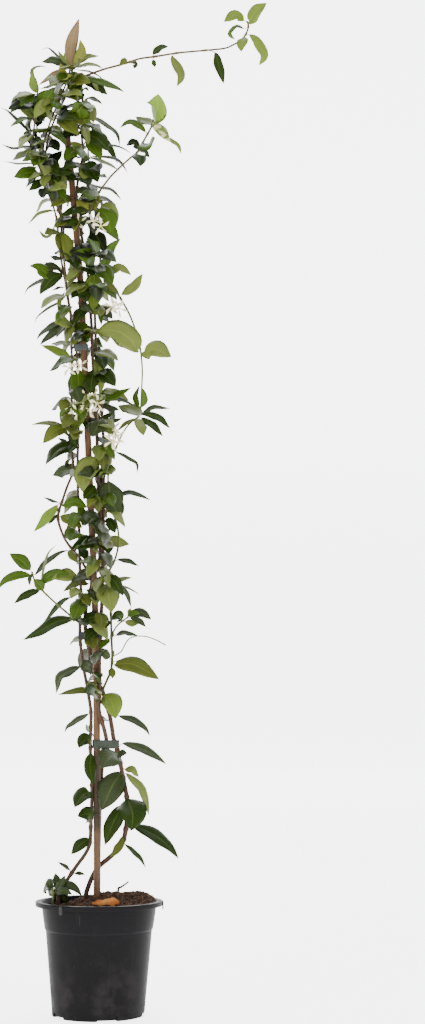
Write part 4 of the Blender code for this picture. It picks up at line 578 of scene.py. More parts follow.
def shadePot(made):
    # near-black plastic, dusty towards its foot, with one pale upright scratch at the front
    x, y, z = made.axes(made.place())
    dust = made.noise(38, 5).fade(0.44, 0.72) * (1 - z.fade(0.02, 0.105))
    specks = made.noise(420, 2).fade(0.68, 0.74) * (1 - z.fade(0.07, 0.14))
    besideScratch = (x + 0.0205 - (z - 0.13) * 0.02).step("ABSOLUTE")
    scratch = (1 - besideScratch.fade(0.0001, 0.0006)) * z.fade(0.121, 0.124)
    scratch = scratch * (1 - z.fade(0.134, 0.137)) * (0 - y).fade(0.0, 0.01)
    scuffs = made.noise(90, 4, (1, 1, 0.15)).fade(0.62, 0.72) * 0.25
    marks = (dust * 0.32 + specks * 0.3 + scuffs * 0.3 + scratch * 0.5).step("MINIMUM", 1.0)
    made.paint(made.mix(marks, (0.0066, 0.0062, 0.0067, 1), (0.034, 0.031, 0.031, 1)))
    made.feed("Roughness", 0.4 + dust * 0.25 + made.noise(700, 2) * 0.08)
    made.bump(made.noise(900, 2), 0.12, 0.0003)


def shadeLug(made):
    made.paint(made.mix(made.noise(240, 3), (0.012, 0.0115, 0.012, 1), (0.026, 0.025, 0.025, 1)))


def shadeSoil(made):
    grain = made.noise(260, 6, roughness=0.7)
    dark = made.mix(made.noise(55, 3), (0.017, 0.010, 0.0065, 1), (0.048, 0.026, 0.018, 1))
    # The pale colour on the raised tops of the grain is a painted highlight.
    made.paint(made.mix(grain.fade(0.5, 0.72), dark, (0.135, 0.078, 0.054, 1)))
    made.bump(grain, 0.8, 0.0016)


def shadeCrumb(made):
    made.paint(made.bright(made.tint(), made.noise(400, 3) * 1.1 + 0.5))


def shadeChip(made):
    grain = made.noise(150, 5, (0.2, 1, 1))
    warm = made.mix(made.noise(70, 3).fade(0.4, 0.65), (0.34, 0.105, 0.022, 1), (0.42, 0.19, 0.055, 1))
    made.paint(made.mix(grain.fade(0.55, 0.7), warm, (0.16, 0.055, 0.022, 1)))
    made.bump(grain, 0.6, 0.001)


def shadeCane(made):
    # tan bamboo with long streaks, redder high up, shaded above its foot, dark at the scars of its nodes
    z = made.axes(made.place())[2]
    streak = made.noise(260, 4, (1, 1, 0.05))
    tan = made.mix(streak, (0.058, 0.030, 0.013, 1), (0.125, 0.070, 0.031, 1))
    red = made.mix(streak, (0.040, 0.017, 0.008, 1), (0.088, 0.041, 0.019, 1))
    colour = made.mix(z.fade(0.62, 1.0) * 0.75, tan, red)
    blotch = made.noise(26, 4, (1, 1, 0.35)).fade(0.5, 0.75)
    colour = made.mix(blotch * 0.6, colour, (0.030, 0.019, 0.010, 1))
    shaded = z.fade(0.232, 0.25) * (1 - z.fade(0.335, 0.365))
    colour = made.mix(shaded * 0.85, colour, (0.020, 0.015, 0.009, 1))
    made.paint(made.mix(made.tint("Alpha"), (0.020, 0.012, 0.008, 1), colour))
    made.bump(streak, 0.25, 0.0004)


def shadeTape(made):
    made.paint(made.bright(made.tint(), made.noise(130, 4) * 0.7 + 0.65))
    made.bump(made.noise(90, 3, (1, 1, 2.5)), 0.5, 0.0008)


# Each finish: its shading, name, roughness and IOR.
finishSettings = {
    "leaf": (shadeLeaf, "glossyLeaf", 0.34, 1.17), "stem": (shadeStem, "barkedStem", 0.62, 1.25),
    "petal": (shadePetal, "creamPetal", 0.55, 1.5), "pot": (shadePot, "potPlastic", 0.46, 1.09),
    "lug": (shadeLug, "lugPlastic", 0.5, 1.2), "soil": (shadeSoil, "dampSoil", 0.92, 1.15),
    "crumb": (shadeCrumb, "soilCrumb", 0.9, 1.15), "chip": (shadeChip, "barkChip", 0.8, 1.2),
    "cane": (shadeCane, "bambooCane", 0.5, 1.25), "tape": (shadeTape, "tyingTape", 0.45, 1.3)}
finishes = {}
for key, (shade, name, roughness, ior) in finishSettings.items():
    made = Finish(name, roughness, IOR=ior)
    shade(made)
    finishes[key] = made.material
print("finishes made:", len(finishes))


stemSettings = {
    "step": 26.0, "thinStep": 12.0, "fineStep": 4.0, "sides": 9,
    # a side shoot's start off its parent's bark, and the distance from the bark that its readings keep
    "seat": 0.3, "seatLength": 1.5, "clear": 3.0,
    "nodeSwell": 0.35, "swellReach": 2.6, "fuller": 1.5, "greening": 9,
    # foot colour, tip colour and the share of the length where the wood turns green
    "colours": {"stem_a": ((0.046, 0.022, 0.012), (0.060, 0.046, 0.018), 0.70),
                "stem_b": ((0.042, 0.023, 0.013), (0.066, 0.058, 0.020), 0.84),
                "stem_c": ((0.045, 0.022, 0.012), (0.064, 0.058, 0.020), 0.80),
                "stem_d": ((0.046, 0.026, 0.013), (0.066, 0.058, 0.020), 0.75),
                "stem_e": ((0.046, 0.027, 0.014), (0.066, 0.058, 0.020), 0.70),
                "tendril": ((0.090, 0.105, 0.040), (0.150, 0.160, 0.080), 0.50)},
    "shootColours": ((0.040, 0.045, 0.011), (0.070, 0.085, 0.018), 0.45)}


class Stem:
    # a stem's layout readings, its real axis and its radius at each point of it
    def __init__(self, route, foot, tip, step, parent=None):
        self.readings = smoothPath(route, step)
        self.axis = sightPoint(self.readings)
        if parent is not None:
            self.startOn(parent)
        self.radii = foot + (tip - foot) * pathShares(self.axis)

    def startOn(self, parent):
        # the readings inside the parent go, and two points just off its bark take their place
        settings, i = stemSettings, parent.nearest(self.readings[0])
        foot, radius = parent.axis[i], parent.radii[i]
        along = unit(parent.axis[min(i + 1, len(parent.axis) - 1)] - parent.axis[max(i - 1, 0)])
        out = self.axis[0] - foot
        out = unit(out - along * out.dot(along))
        while np.linalg.norm(self.axis[0] - foot) < radius + settings["clear"]:
            self.axis, self.readings = self.axis[1:], self.readings[1:]
        starts = [foot + out * (radius + settings["seat"] + lift) for lift in (0, settings["seatLength"])]
        self.axis = np.vstack([starts, self.axis])
        self.readings = np.vstack([self.readings[:1], self.readings[:1], self.readings])

    def nearest(self, reading):
        x, z = reading[0], reading[-1]
        return int(np.argmin((self.readings[:, 0] - x) ** 2 + (self.readings[:, 2] - z) ** 2))

    def readingAt(self, z):
        return self.readings[int(np.argmin(np.abs(self.readings[:, 2] - z)))]

    def atHeight(self, z):
        heights = self.axis[:, 2]
        k = np.nonzero((heights[:-1] - z) * (heights[1:] - z) <= 0)[0][0]
        share = (z - heights[k]) / (heights[k + 1] - heights[k])
        return self.axis[k] + (self.axis[k + 1] - self.axis[k]) * share, self.radii[k]


stems = {}
for name, (route, foot, tip) in stemRoutes.items():
    step = stemSettings["step"] if foot > 1 else stemSettings["thinStep"]
    stems[name] = Stem(route, foot, tip, step, stems.get(growsFrom.get(name)))
cane = Stem(caneSettings["route"], caneSettings["radius"], caneSettings["radius"], caneSettings["step"])


def stemTube(stem, colours, joints):
    # a tube through the stem's axis, swollen at each leaf joint and tinted from foot to tip
    settings = stemSettings
    centres = smoothPath(stem.axis, settings["fineStep"])
    along = pathShares(centres)
    radii = settings["fuller"] * np.interp(along, pathShares(stem.axis), stem.radii)
    if joints:
        # the nearest joint alone swells a ring, so crowded joints don't add up
        nearest = np.linalg.norm(centres[:, None] - np.array(joints), axis=2).min(1)
        radii = radii * (1 + settings["nodeSwell"] * np.exp(-(nearest / settings["swellReach"]) ** 2))
    footColour, tipColour, turnShare = colours
    share = 1 / (1 + np.exp(-(along - turnShare) * settings["greening"]))
    tints = np.repeat(blend(footColour, tipColour, share[:, None]), settings["sides"], 0)
    return tubeShape(centres, radii, settings["sides"]), withEnds(tints)


leafSettings = {
    "petiole": 0.7, "petioleHalf": 0.5, "longestPetiole": 0.4, "jointGap": 2.5, "clear": 2.8,
    "lengthOverWidth": 2.5, "longest": 62.0, "step": 3.0, "fold": 0.14, "thickness": 0.24, "tipHalf": 0.12,
    # ripples and downward curl of the edges, and the groove over the rib
    "ripple": 0.10, "curl": 0.10, "groove": 0.25, "grooveWidth": 0.16,
    "across": 7, "bladeSections": 16, "petioleSections": 4,
    # the frame's leaves: share of the blade at its first corner for broad, middling and narrow blades, and
    # how near a found corner has to be
    "firstShares": (0.05, 0.15, 0.42), "match": 0.05,
    # degrees that a blade is turned from the front at most, and how much broader than its reading it is
    "steepest": 48, "broad": 1.2, "broader": {"b": 0.82, "z": 0.9, "c": 1.0, "w": 1.0},
    "underTint": (0.024, 0.032, 0.010), "stalkTint": (0.06, 0.065, 0.02)}
# Steps of depth and turn that a leaf of the frame may have been given to keep it clear of its neighbours.
shifts = [(0, 0), (5, 0), (-5, 0), (-10, 0), (10, 0), (-15, 0), (15, 0), (-20, 20), (20, 20), (-26, 0), (26, 0),
          (0, 35), (-12, 35), (12, 35), (-34, 15), (34, 15), (-42, 0), (42, 0), (-52, 20), (52, 20)]


def bladeWidth(u):
    # half width over its greatest: rises from the base, widest before the middle, drawn out to a point
    u = np.clip(u, 0, 1)
    return np.maximum(0.0, np.sin(math.pi * u ** 0.85)) ** 0.72 * (1 - 0.34 * u ** 4)


def solidWidth(u):
    # the plainer outline that the frame's solids have
    return math.sin(math.pi * u ** 0.85) ** 0.9 * (1 - 0.3 * u ** 4)


class Leaf:
    # the middle line of a row of readings, shifted in depth at its tip and turned
    def __init__(self, stem, row, depthShift=0, turnShift=0):
        flat, width, depth, turn, self.tone = row
        self.stem, self.foot, self.width = stem, stem.nearest(flat[:2]), width
        foot = stem.readings[self.foot]
        points = np.vstack([(foot[0], 0, foot[2]), np.insert(np.reshape(flat, (-1, 2)).astype(float), 1, 0, 1)])
        self.hasPetiole = np.linalg.norm(points[1] - points[0]) >= leafSettings["jointGap"]
        if not self.hasPetiole:
            points = np.delete(points, 1, 0)
        lengths = runningLength(points)
        share = lengths / lengths[-1]
        if isinstance(depth, tuple):
            points[0, 1], points[1:, 1] = foot[1], np.add(depth[1 - len(points):], depthShift * share[1:])
        else:
            full = min(width * leafSettings["lengthOverWidth"], leafSettings["longest"])
            hidden = math.sqrt(max(0.0, full ** 2 - lengths[-1] ** 2))
            depth = math.copysign(max(abs(depth), hidden), depth)
            points[:, 1] = foot[1] + (depth + depthShift) * (1 - (1 - share) ** 1.6)
        self.readings, self.tip = points, sightPoint(points[-1:])[0]
        self.turn = math.radians(turn + turnShift)
        self.shownTurn = math.radians(min(turn, leafSettings["steepest"]))

    def grow(self):
        # the middle line from the stem's axis, and where the blade starts on it
        self.line = sightPoint(smoothPath(self.readings, leafSettings["step"]))
        self.line[0] = self.stem.axis[self.foot]
        self.lengths = runningLength(self.line)
        total = self.lengths[-1]
        petiole = np.linalg.norm(self.readings[1] - self.readings[0]) if self.hasPetiole else 0
        petiole = max(petiole, self.stem.radii[self.foot] + leafSettings["clear"])
        self.start = min(petiole, leafSettings["longestPetiole"] * total) / total
        middle = alongPath(self.line, self.lengths, 0.6 * total)[1][0]
        outward = 0.3 if self.line[-1][0] > self.line[0][0] else -0.3
        self.flip = 1 if np.cross(middle, (0, 1, 0)).dot((outward, 0, 1)) > 0 else -1
        return self

    def frames(self, shares, turn):
        centre, along = alongPath(self.line, self.lengths, shares * self.lengths[-1])
        up = unit(np.cross(along, (0, 1, 0))) * self.flip
        front = np.array((0.0, -1.0, 0.0)) - along * (-along[:, 1:2])
        face = unit(front) * math.cos(turn) + up * math.sin(turn)
        return centre, np.cross(along, face), face

    def edgePoint(self):
        # where the solid leaf has the first corner of its blade
        u = leafSettings["firstShares"][0 if self.width > 15 else 1 if self.width > 9 else 2]
        half = max(leafSettings["petiole"], 0.5 * self.width * solidWidth(u))
        centre, side, face = self.frames(np.array([self.start + (1 - self.start) * u]), self.turn)
        return (centre + side * half + face * leafSettings["fold"] * half)[0]

    def surface(self, draw):
        # shape, tints and UVs of a closed lens: a round petiole that opens into a folded, wavy blade
        settings, petioleHalf = leafSettings, leafSettings["petioleHalf"]
        v, sheet = lensProfile(settings["across"])
        u = 0.5 - 0.5 * np.cos(np.linspace(0.06, 1, settings["bladeSections"]) * math.pi)
        stalk = np.linspace(0, self.start * 0.96, settings["petioleSections"])
        shares = np.concatenate([stalk, self.start + (1 - self.start) * u])
        blade = np.concatenate([np.full(len(stalk), -1.0), u])[:, None]
        centre, side, face = self.frames(np.minimum(shares, 1.0), self.shownTurn)
        isBlade = blade >= 0
        half = 0.5 * self.width * settings["broader"].get(self.tone, settings["broad"]) * bladeWidth(blade)
        half = np.maximum(np.maximum(half, petioleHalf * (blade < 0.2)), settings["tipHalf"])
        wave = settings["ripple"] * np.sin(blade * draw.uniform(9, 13) + draw.uniform(0, 6)) * v ** 2
        lift = settings["fold"] * np.abs(v) ** 1.3 + wave - settings["curl"] * v ** 4
        groove = settings["groove"] * np.exp(-(v / settings["grooveWidth"]) ** 2) * (half > 2)
        groove = groove * (1 - np.clip(blade, 0, 1))
        bladeFace = half * lift + settings["thickness"] * sheet * (1 - v ** 4) - groove
        across = np.where(isBlade, half, petioleHalf) * v
        outward = np.where(isBlade, bladeFace, petioleHalf * sheet * np.sin(np.arccos(v)))
        rings = centre[:, None] + side[:, None] * across[..., None] + face[:, None] * outward[..., None]
        edgeToEdge = np.where(isBlade, 0.5 + 0.5 * v, 0.9)
        uvs = np.stack(np.broadcast_arrays(np.clip(blade, 0, 1), edgeToEdge), -1)
        uvs = np.vstack([uvs.reshape(-1, 2), (0, 0.9), (1, 0.5)])
        upper = np.array(leafTones[self.tone]) * draw.uniform(0.86, 1.16)
        bladeTint = np.where((sheet < 0)[:, None], upper * 0.6 + settings["underTint"], upper)
        tints = np.where(isBlade[..., None], bladeTint, upper * 0.5 + settings["stalkTint"])
        gloss = np.broadcast_to((sheet >= 0)[:, None], (*tints.shape[:2], 1))
        tints = np.concatenate([tints, gloss], -1).reshape(-1, 4)
        return closedShape(rings, centre[0], self.tip), withEnds(tints), uvs


def nodeTree(name):
    # the corners of a solid of the frame, in millimetres, for finding where its leaves stand
    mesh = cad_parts[name].data
    corners = np.zeros(len(mesh.vertices) * 3, np.float32)
    mesh.vertices.foreach_get("co", corners)
    corners = corners.reshape(-1, 3) / millimetre
    tree = KDTree(len(corners))
    for i, corner in enumerate(corners):
        tree.insert(corner, i)
    tree.balance()
    return tree


def settledLeaf(stem, row, tree):
    # the shift whose tip and blade corner are corners of the frame's solid
    found = []
    for shift in shifts:
        leaf = Leaf(stem, row, *shift)
        if tree.find(leaf.tip)[2] < leafSettings["match"]:
            found.append((tree.find(leaf.grow().edgePoint())[2], len(found), leaf))
    return min(found)[2] if found else None


def farRows():
    rows = {}
    settings, draw = farSettings, random.Random(farSettings["seed"])
    for name, z in farLeaves:
        foot = stems[name].readingAt(z)
        reach, drop = draw.uniform(*settings["reach"]), draw.uniform(*settings["drop"])
        flat = (foot[0] + 0.1 * reach, z, foot[0] + reach, z - drop)
        width, depth, turn = (draw.uniform(*settings[key]) for key in ("width", "depth", "turn"))
        rows.setdefault(name, []).append((flat, width, depth, turn, settings["tone"]))
    return rows


# Leaves that the solids leave out, on the crowded stretches: stem, height range, how many, sideways reach
# and tones.
fillStretches = [("stem_e", 1140, 1290, 23, (-44, 28), "mopp"), ("stem_e", 1268, 1303, 14, (-32, 36), "ypopz"),
                 ("stem_a", 1110, 1290, 31, (-38, 46), "dmomp"), ("stem_d", 1110, 1285, 26, (-40, 44), "dkmpo"),
                 ("stem_b", 1100, 1265, 26, (-42, 40), "dgmkp"), ("stem_c", 1000, 1125, 21, (-38, 44), "dmkg"),
                 ("stem_a", 880, 1090, 28, (-36, 38), "dmkpo"), ("stem_d", 740, 1060, 22, (-40, 26), "dmog"),
                 ("stem_c", 560, 1000, 46, (-34, 40), "dmgop"), ("stem_b", 500, 1040, 34, (-40, 28), "dmogp"),
                 ("stem_a", 420, 880, 38, (-32, 36), "dmgpo"), ("shoot_inner", 1105, 1180, 6, (-28, 30), "dkm"),
                 ("stem_c", 380, 540, 7, (-26, 28), "dgo"), ("low_sprig", 150, 190, 5, (-22, 22), "dgw")]
# Stretches that start above "raisedAbove" hold their tips up. The turn is one for leaves that come towards
# the viewer and another for those that go away.
fillSettings = {"seed": 23, "raisedAbove": 1260, "drop": (-6, 26), "raisedDrop": (-34, 4), "depth": (10, 34),
                "towards": (10, 55), "away": (20, 85), "width": (14, 23)}


def fillRows():
    rows = {}
    settings, draw = fillSettings, random.Random(fillSettings["seed"])
    for name, low, high, count, reaches, tones in fillStretches:
        drops = settings["raisedDrop" if low > settings["raisedAbove"] else "drop"]
        for k in range(count):
            z = low + (high - low) * (k + draw.uniform(0.1, 0.9)) / count
            x, _, z = stems[name].readingAt(z)
            reach, drop = draw.uniform(*reaches), draw.uniform(*drops)
            depth = draw.choice((-1, -1, 1)) * draw.uniform(*settings["depth"])
            turn = draw.uniform(*settings["towards" if depth < 0 else "away"])
            flat = (x + 0.12 * reach, z + 3, x + 0.55 * reach, z + 4 - 0.3 * drop, x + reach, z - drop)
            width, tone = draw.uniform(*settings["width"]), draw.choice(tones)
            rows.setdefault(name, []).append((flat, width, depth, turn, tone))
    return rows


def buildLeafyStems():
    far, fill = farRows(), fillRows()
    missing = 0
    for name, stem in stems.items():
        draw, tree = np.random.default_rng(len(name) + 17), nodeTree(name)
        grown = [settledLeaf(stem, row, tree) for row in leafReadings.get(name, []) + far.get(name, [])]
        missing += grown.count(None)
        grown = [leaf for leaf in grown if leaf] + [Leaf(stem, row).grow() for row in fill.get(name, [])]
        joints = [stem.axis[leaf.foot] for leaf in grown]
        colours = stemSettings["colours"].get(name, stemSettings["shootColours"])
        Batch().add(*stemTube(stem, colours, joints)).build(name + "_wood", "stem", "leaf", name)
        if grown:
            leaves = Batch()
            for leaf in grown:
                leaves.add(*leaf.surface(draw))
            leaves.build(name + "_leaves", "leaf", "leaf")
    print("leaves without a place:", missing)


buildLeafyStems()
print("stems and leaves built")


flowerSettings = {
    "radius": 12.5, "petals": 5, "neck": 7.0, "tubeRadius": 0.85, "stalkRadii": (0.9, 0.6), "pedicel": 0.5,
    "halfWidth": 2.2, "sections": 11, "across": 7, "thickness": 0.2, "lift": 0.45, "crossways": (0.3, 0.2, 1),
    # a petal's narrowest share of its width, where its end starts to round off, and how it bends
    "narrowest": 0.24, "roundFrom": 0.86, "slant": 1.5, "bend": 0.10, "twist": math.radians(16), "arch": 0.07,
    "firstTurn": -0.04,
    # the frame's blooms: steps towards the viewer, turn and height of the first petal's corner, and how
    # near a found corner has to be
    "nearer": (0, -3, -6, -9, -12, -16, -20), "solidTurn": math.radians(13), "solidLift": 1.25, "match": 0.2,
    "petal": (0.58, 0.53, 0.32), "throat": (0.50, 0.38, 0.10), "calyx": (0.07, 0.09, 0.02),
    "stalk": (0.12, 0.14, 0.04)}


def starFrame(sideways, upward):
    face = unit(np.array((math.sin(math.radians(sideways)), -1, math.sin(math.radians(upward)))))
    side = unit(np.cross(face, (0, 0, 1)))
    return face, side, np.cross(side, face)


def starSpot(tree, reading):
    # the centre on the frame's solid, from the steps towards the viewer that a bloom may take
    x, z, depth, sideways, upward = reading
    face, side, up = starFrame(sideways, upward)
    settings, found = flowerSettings, []
    for k, step in enumerate(settings["nearer"]):
        centre = sightPoint([(x, depth + step, z)])[0]
        angle = centre[0] + settings["solidTurn"]
        corner = centre + settings["radius"] * (side * math.cos(angle) + up * math.sin(angle))
        found.append((tree.find(corner + face * (settings["lift"] + settings["solidLift"]))[2], k, centre))
    gap, _, centre = min(found)
    return centre if gap < settings["match"] else None


def petalSurface(centre, face, side, up, turn, draw):
    # a blade along a gently bent line, narrow at the throat, broad and cut aslant at its end
    settings = flowerSettings
    v, sheet = lensProfile(settings["across"])
    r = np.linspace(0, 1, settings["sections"])[:, None]
    broadening = np.sin(np.clip(r * 1.15, 0, 1) * math.pi / 2) ** 1.6
    half = settings["halfWidth"] * blend(settings["narrowest"], 1, broadening)
    past = np.clip((r - settings["roundFrom"]) / 0.16, 0, None)
    half = half * np.sqrt(np.clip(1 - past ** 2, 0.02, 1))
    reach = settings["radius"] * (0.09 + 0.91 * r) - settings["slant"] * v * r ** 3
    bend = turn - settings["bend"] * r + draw.uniform(-0.05, 0.05)
    twist = settings["twist"] + draw.uniform(-0.12, 0.12)
    sideways = half * v * math.cos(twist)
    rise = half * v * math.sin(twist) + settings["arch"] * settings["radius"] * np.sin(r * math.pi * 0.9)
    rise = rise + 0.35 * v ** 2 * half * draw.uniform(0.2, 0.6) - 0.8 * r ** 3 * draw.uniform(-0.5, 1.2)
    rise = rise + settings["thickness"] * sheet * (1 - v ** 4) + settings["lift"]
    a = np.cos(bend) * reach - np.sin(bend) * sideways
    b = np.sin(bend) * reach + np.cos(bend) * sideways
    rings = centre + side * a[..., None] + up * b[..., None] + face * rise[..., None]
    petal = np.array(settings["petal"]) * draw.uniform(0.9, 1.05)
    tints = blend(settings["throat"], petal, np.clip(r / 0.3, 0, 1))
    return closedShape(rings), withEnds(np.repeat(tints, len(v), 0))


def buildFlowers():
    settings = flowerSettings
    neck, crossways, stalkColour = settings["neck"], settings["crossways"], settings["stalk"]
    for name, (route, blooms) in flowerReadings.items():
        draw = np.random.default_rng(len(name) + 5)
        stalk = Stem(route, *settings["stalkRadii"], stemSettings["thinStep"], stems[growsFrom[name]])
        tree = nodeTree(name)
        petals, green = Batch(), Batch()
        line = smoothPath(stalk.axis, 2.0)
        green.add(tubeShape(line, np.linspace(*settings["stalkRadii"], len(line)), 8), stalkColour)
        for reading in blooms:
            centre = starSpot(tree, reading)
            if centre is None:
                continue
            face, side, up = starFrame(*reading[3:])
            for k in range(settings["petals"]):
                turn = 2 * math.pi * k / settings["petals"] + centre[0] + settings["firstTurn"]
                petals.add(*petalSurface(centre, face, side, up, turn, draw))
            back, end = centre - face * neck, stalk.axis[-1]
            line = smoothPath([end, (end + back) / 2 - face * 0.8, back, back + face * 2], 1.2)
            green.add(tubeShape(line, settings["pedicel"], 8, crossways), stalkColour)
            r = np.linspace(0, 1, 12)
            radii = settings["tubeRadius"] * (0.85 + 0.35 * np.sin(r * math.pi * 0.8) + 0.6 * r ** 8)
            line = back + face * (r * (neck + 0.5))[:, None]
            petals.add(tubeShape(line, radii, 10, crossways), settings["petal"])
            r = np.linspace(0, 1, 8)
            radii = 0.6 + 0.75 * np.sin(r * math.pi / 2) * (r < 0.99)
            line = back + face * (r * 2.6 - 0.2)[:, None]
            green.add(tubeShape(line, radii, 10, crossways), settings["calyx"])
        petals.build(name + "_petals", "petal", "petal", name)
        green.build(name + "_stalks", "stem", "petal")


buildFlowers()
print("flowers built")


potSettings = {
    "baseRadius": 61.0, "stepHeight": 111.0, "stepRadii": (70.8, 72.2), "neckRadius": 76.4, "rimRadius": 85.0,
    "height": 148.0, "wall": 1.6, "floor": 2.0, "lip": 6.0, "steps": 192, "sharp": math.radians(38),
    "notches": 5, "notchWidth": 27.0, "notchHeight": 5.5, "firstNotch": math.radians(-75.2), "notchDepth": 9.0,
    "lugAngles": (-122, -2, 118), "lugSize": (1.7, 5.0, 12.0)}


def potRadius(z):
    # the wall's outside leans out to the step, jumps and leans out again to the neck
    settings = potSettings
    step, under = settings["stepHeight"], settings["height"] - settings["lip"]
    radii = (settings["baseRadius"], *settings["stepRadii"], settings["neckRadius"])
    return float(np.interp(z, (0, step, step + 1e-6, under), radii))


def rounded(corners, radius, count=4):
    # a profile with each corner turned into a short curve
    corners = np.asarray(corners, float)
    points = [corners[:1]]
    for before, here, after in zip(corners, corners[1:], corners[2:]):
        cut = min(radius, 0.45 * np.linalg.norm(here - before), 0.45 * np.linalg.norm(after - here))
        a, b = here + unit(before - here) * cut, here + unit(after - here) * cut
        t = np.linspace(0, 1, count)[:, None]
        points.append(a * (1 - t) ** 2 + here * 2 * t * (1 - t) + b * t ** 2)
    return np.vstack(points + [corners[-1:]])


def buildPot():
    settings = potSettings
    top, under, floor = settings["height"], settings["height"] - settings["lip"], settings["floor"]
    neck, rim, wall = settings["neckRadius"], settings["rimRadius"], settings["wall"]
    step, (stepLow, stepHigh) = settings["stepHeight"], settings["stepRadii"]
    base, deep = settings["baseRadius"], settings["baseRadius"] - settings["notchDepth"]
    inner = [(0, floor), (potRadius(floor) - wall, floor), (stepLow - wall, step - 1),
             (stepHigh - wall, step + 1), (neck - wall, under), (neck + 0.6, top)]
    lip = [(rim - 0.6, top), (rim, top - 1.2), (rim - 0.4, under), (rim - 2, under), (rim - 2, under + 3.6),
           (neck + 0.4, under + 3.2), (neck, under)]
    body = [(potRadius(125), 125), (stepHigh, step + 1.4), (stepLow, step - 0.6), (potRadius(60), 60),
            (base + 0.8, 8.5), (base + 0.7, 5.6)]
    # notches in the foot, each with two close turns at its edges
    notch = settings["notchWidth"] / 2 / base
    middles = settings["firstNotch"] + fullTurn(settings["notches"])
    edges = np.add.outer(middles, (-notch - 0.002, -notch, notch, notch + 0.002)).ravel()
    turns = np.unique(np.mod(np.concatenate([fullTurn(settings["steps"]), edges]), 2 * math.pi))
    apart = np.abs(np.angle(np.exp(1j * (turns - middles[:, None]))))
    lift = (apart.min(0) <= notch + 0.0005) * settings["notchHeight"]
    rings = [levelRing(radius, turns, z) for radius, z in rounded(inner + lip + body, 0.5)]
    for radius, low in ((base + 0.3, 0.4), (base - 0.2, 0), (base - 0.6, 0), (deep, 0), (deep - 0.1, 0)):
        rings.append(levelRing(radius, turns, np.maximum(low, lift if radius >= deep else 0)))
    shell = closedShape(np.array(rings)[::-1], (0, 0, 0), (0, 0, floor))
    made = Batch().add(shell).build("pot_shell", "pot", "pot", "pot")
    made.data.set_sharp_from_angle(angle=settings["sharp"])

    thick, broad, tall = settings["lugSize"]
    t, turns = np.linspace(0, 1, 9)[:, None], fullTurn(20)
    soft = np.sqrt(np.clip(1 - (2 * t - 1) ** 8, 0.02, 1))
    out = rim - 0.7 + thick / 2 * (1 + squared(np.cos(turns), 0.25) * soft)
    along = broad / 2 * squared(np.sin(turns), 0.25) * soft
    for k, angle in enumerate(np.radians(settings["lugAngles"])):
        x, y = out * np.cos(angle) - along * np.sin(angle), out * np.sin(angle) + along * np.cos(angle)
        rings = np.stack(np.broadcast_arrays(x, y, top + 0.3 - tall * t), -1)[::-1]
        Batch().add(closedShape(rings)).build("pot_lug_%d" % (k + 1), "lug" if k == 0 else "pot", "pot")


buildPot()
print("pot built")


soilSettings = {"level": 146.0, "edge": 141.0, "depths": (128.0, 112.5, 110.0, 60.0, 2.4), "rings": 64,
                "steps": 150, "seed": 4, "crumbs": 1500, "crumbReach": 74, "fibres": 150, "fibreReach": 70,
                "fibreEdge": 73, "crumbTones": ((0.024, 0.014, 0.009), (0.100, 0.053, 0.034)),
                "fibreTint": (0.110, 0.064, 0.040)}


def soilHeight(x, y):
    # low on the left, mounded behind the middle, with small lumps
    mound = 10 * np.exp(-((x - 12) / 32) ** 2 - ((y - 18) / 46) ** 2)
    hollow = -9 / (1 + np.exp((x + 40) / 7))
    lumps = 1.1 * np.sin(0.31 * x + 1.3) * np.cos(0.27 * y) + 0.7 * np.sin(0.53 * y + 0.4 * x)
    return soilSettings["level"] + mound + hollow + lumps


def soilTop(x, y):
    # the soil's height, drawn down to the pot's wall at its edge, with crumbly ripples and a loose heap
    # against the wall at the right and behind
    height = soilHeight(x, y)
    rim = np.clip((np.hypot(x, y) - 60) / 14, 0, 1)
    height = height + (np.minimum(height, soilSettings["level"] - 2) - height) * rim
    crumble = 0.5 * np.sin(1.3 * x + 2 * np.sin(0.7 * y)) * np.cos(1.1 * y + np.sin(0.9 * x))
    crumble = crumble + 0.35 * np.sin(2.7 * x + 1.9 * y) * np.sin(2.1 * y - 1.4 * x)
    crumble = crumble + 0.25 * np.sin(4.3 * x) * np.cos(3.9 * y)
    return height + crumble + 10.0 * np.exp(-((x - 58) / 24) ** 2 - ((y - 20) / 36) ** 2)


def crumbShape(centres, radii, spins, draw):
    # small six-cornered lumps: two poles and a waist of four, each corner pulled in or out
    corners = np.array([(0, 0, 1), (1, 0, 0), (0, 1, 0), (-1, 0, 0), (0, -1, 0), (0, 0, -1)], float)
    count = len(centres)
    lumps = corners * draw.uniform(0.55, 1.25, (count, 6, 1)) + draw.uniform(-0.2, 0.2, (count, 6, 3))
    x, y, z = np.moveaxis(lumps * radii[:, None, None] * (1.2, 0.9, 0.7), -1, 0)
    cos, sin = np.cos(spins)[:, None], np.sin(spins)[:, None]
    points = (np.stack([x * cos - y * sin, x * sin + y * cos, z], -1) + centres[:, None]).reshape(-1, 3)
    triangles = np.array([(0, 1, 2), (0, 2, 3), (0, 3, 4), (0, 4, 1),
                          (5, 2, 1), (5, 3, 2), (5, 4, 3), (5, 1, 4)])
    return points, [(triangles + 6 * np.arange(count)[:, None, None]).reshape(-1, 3)]


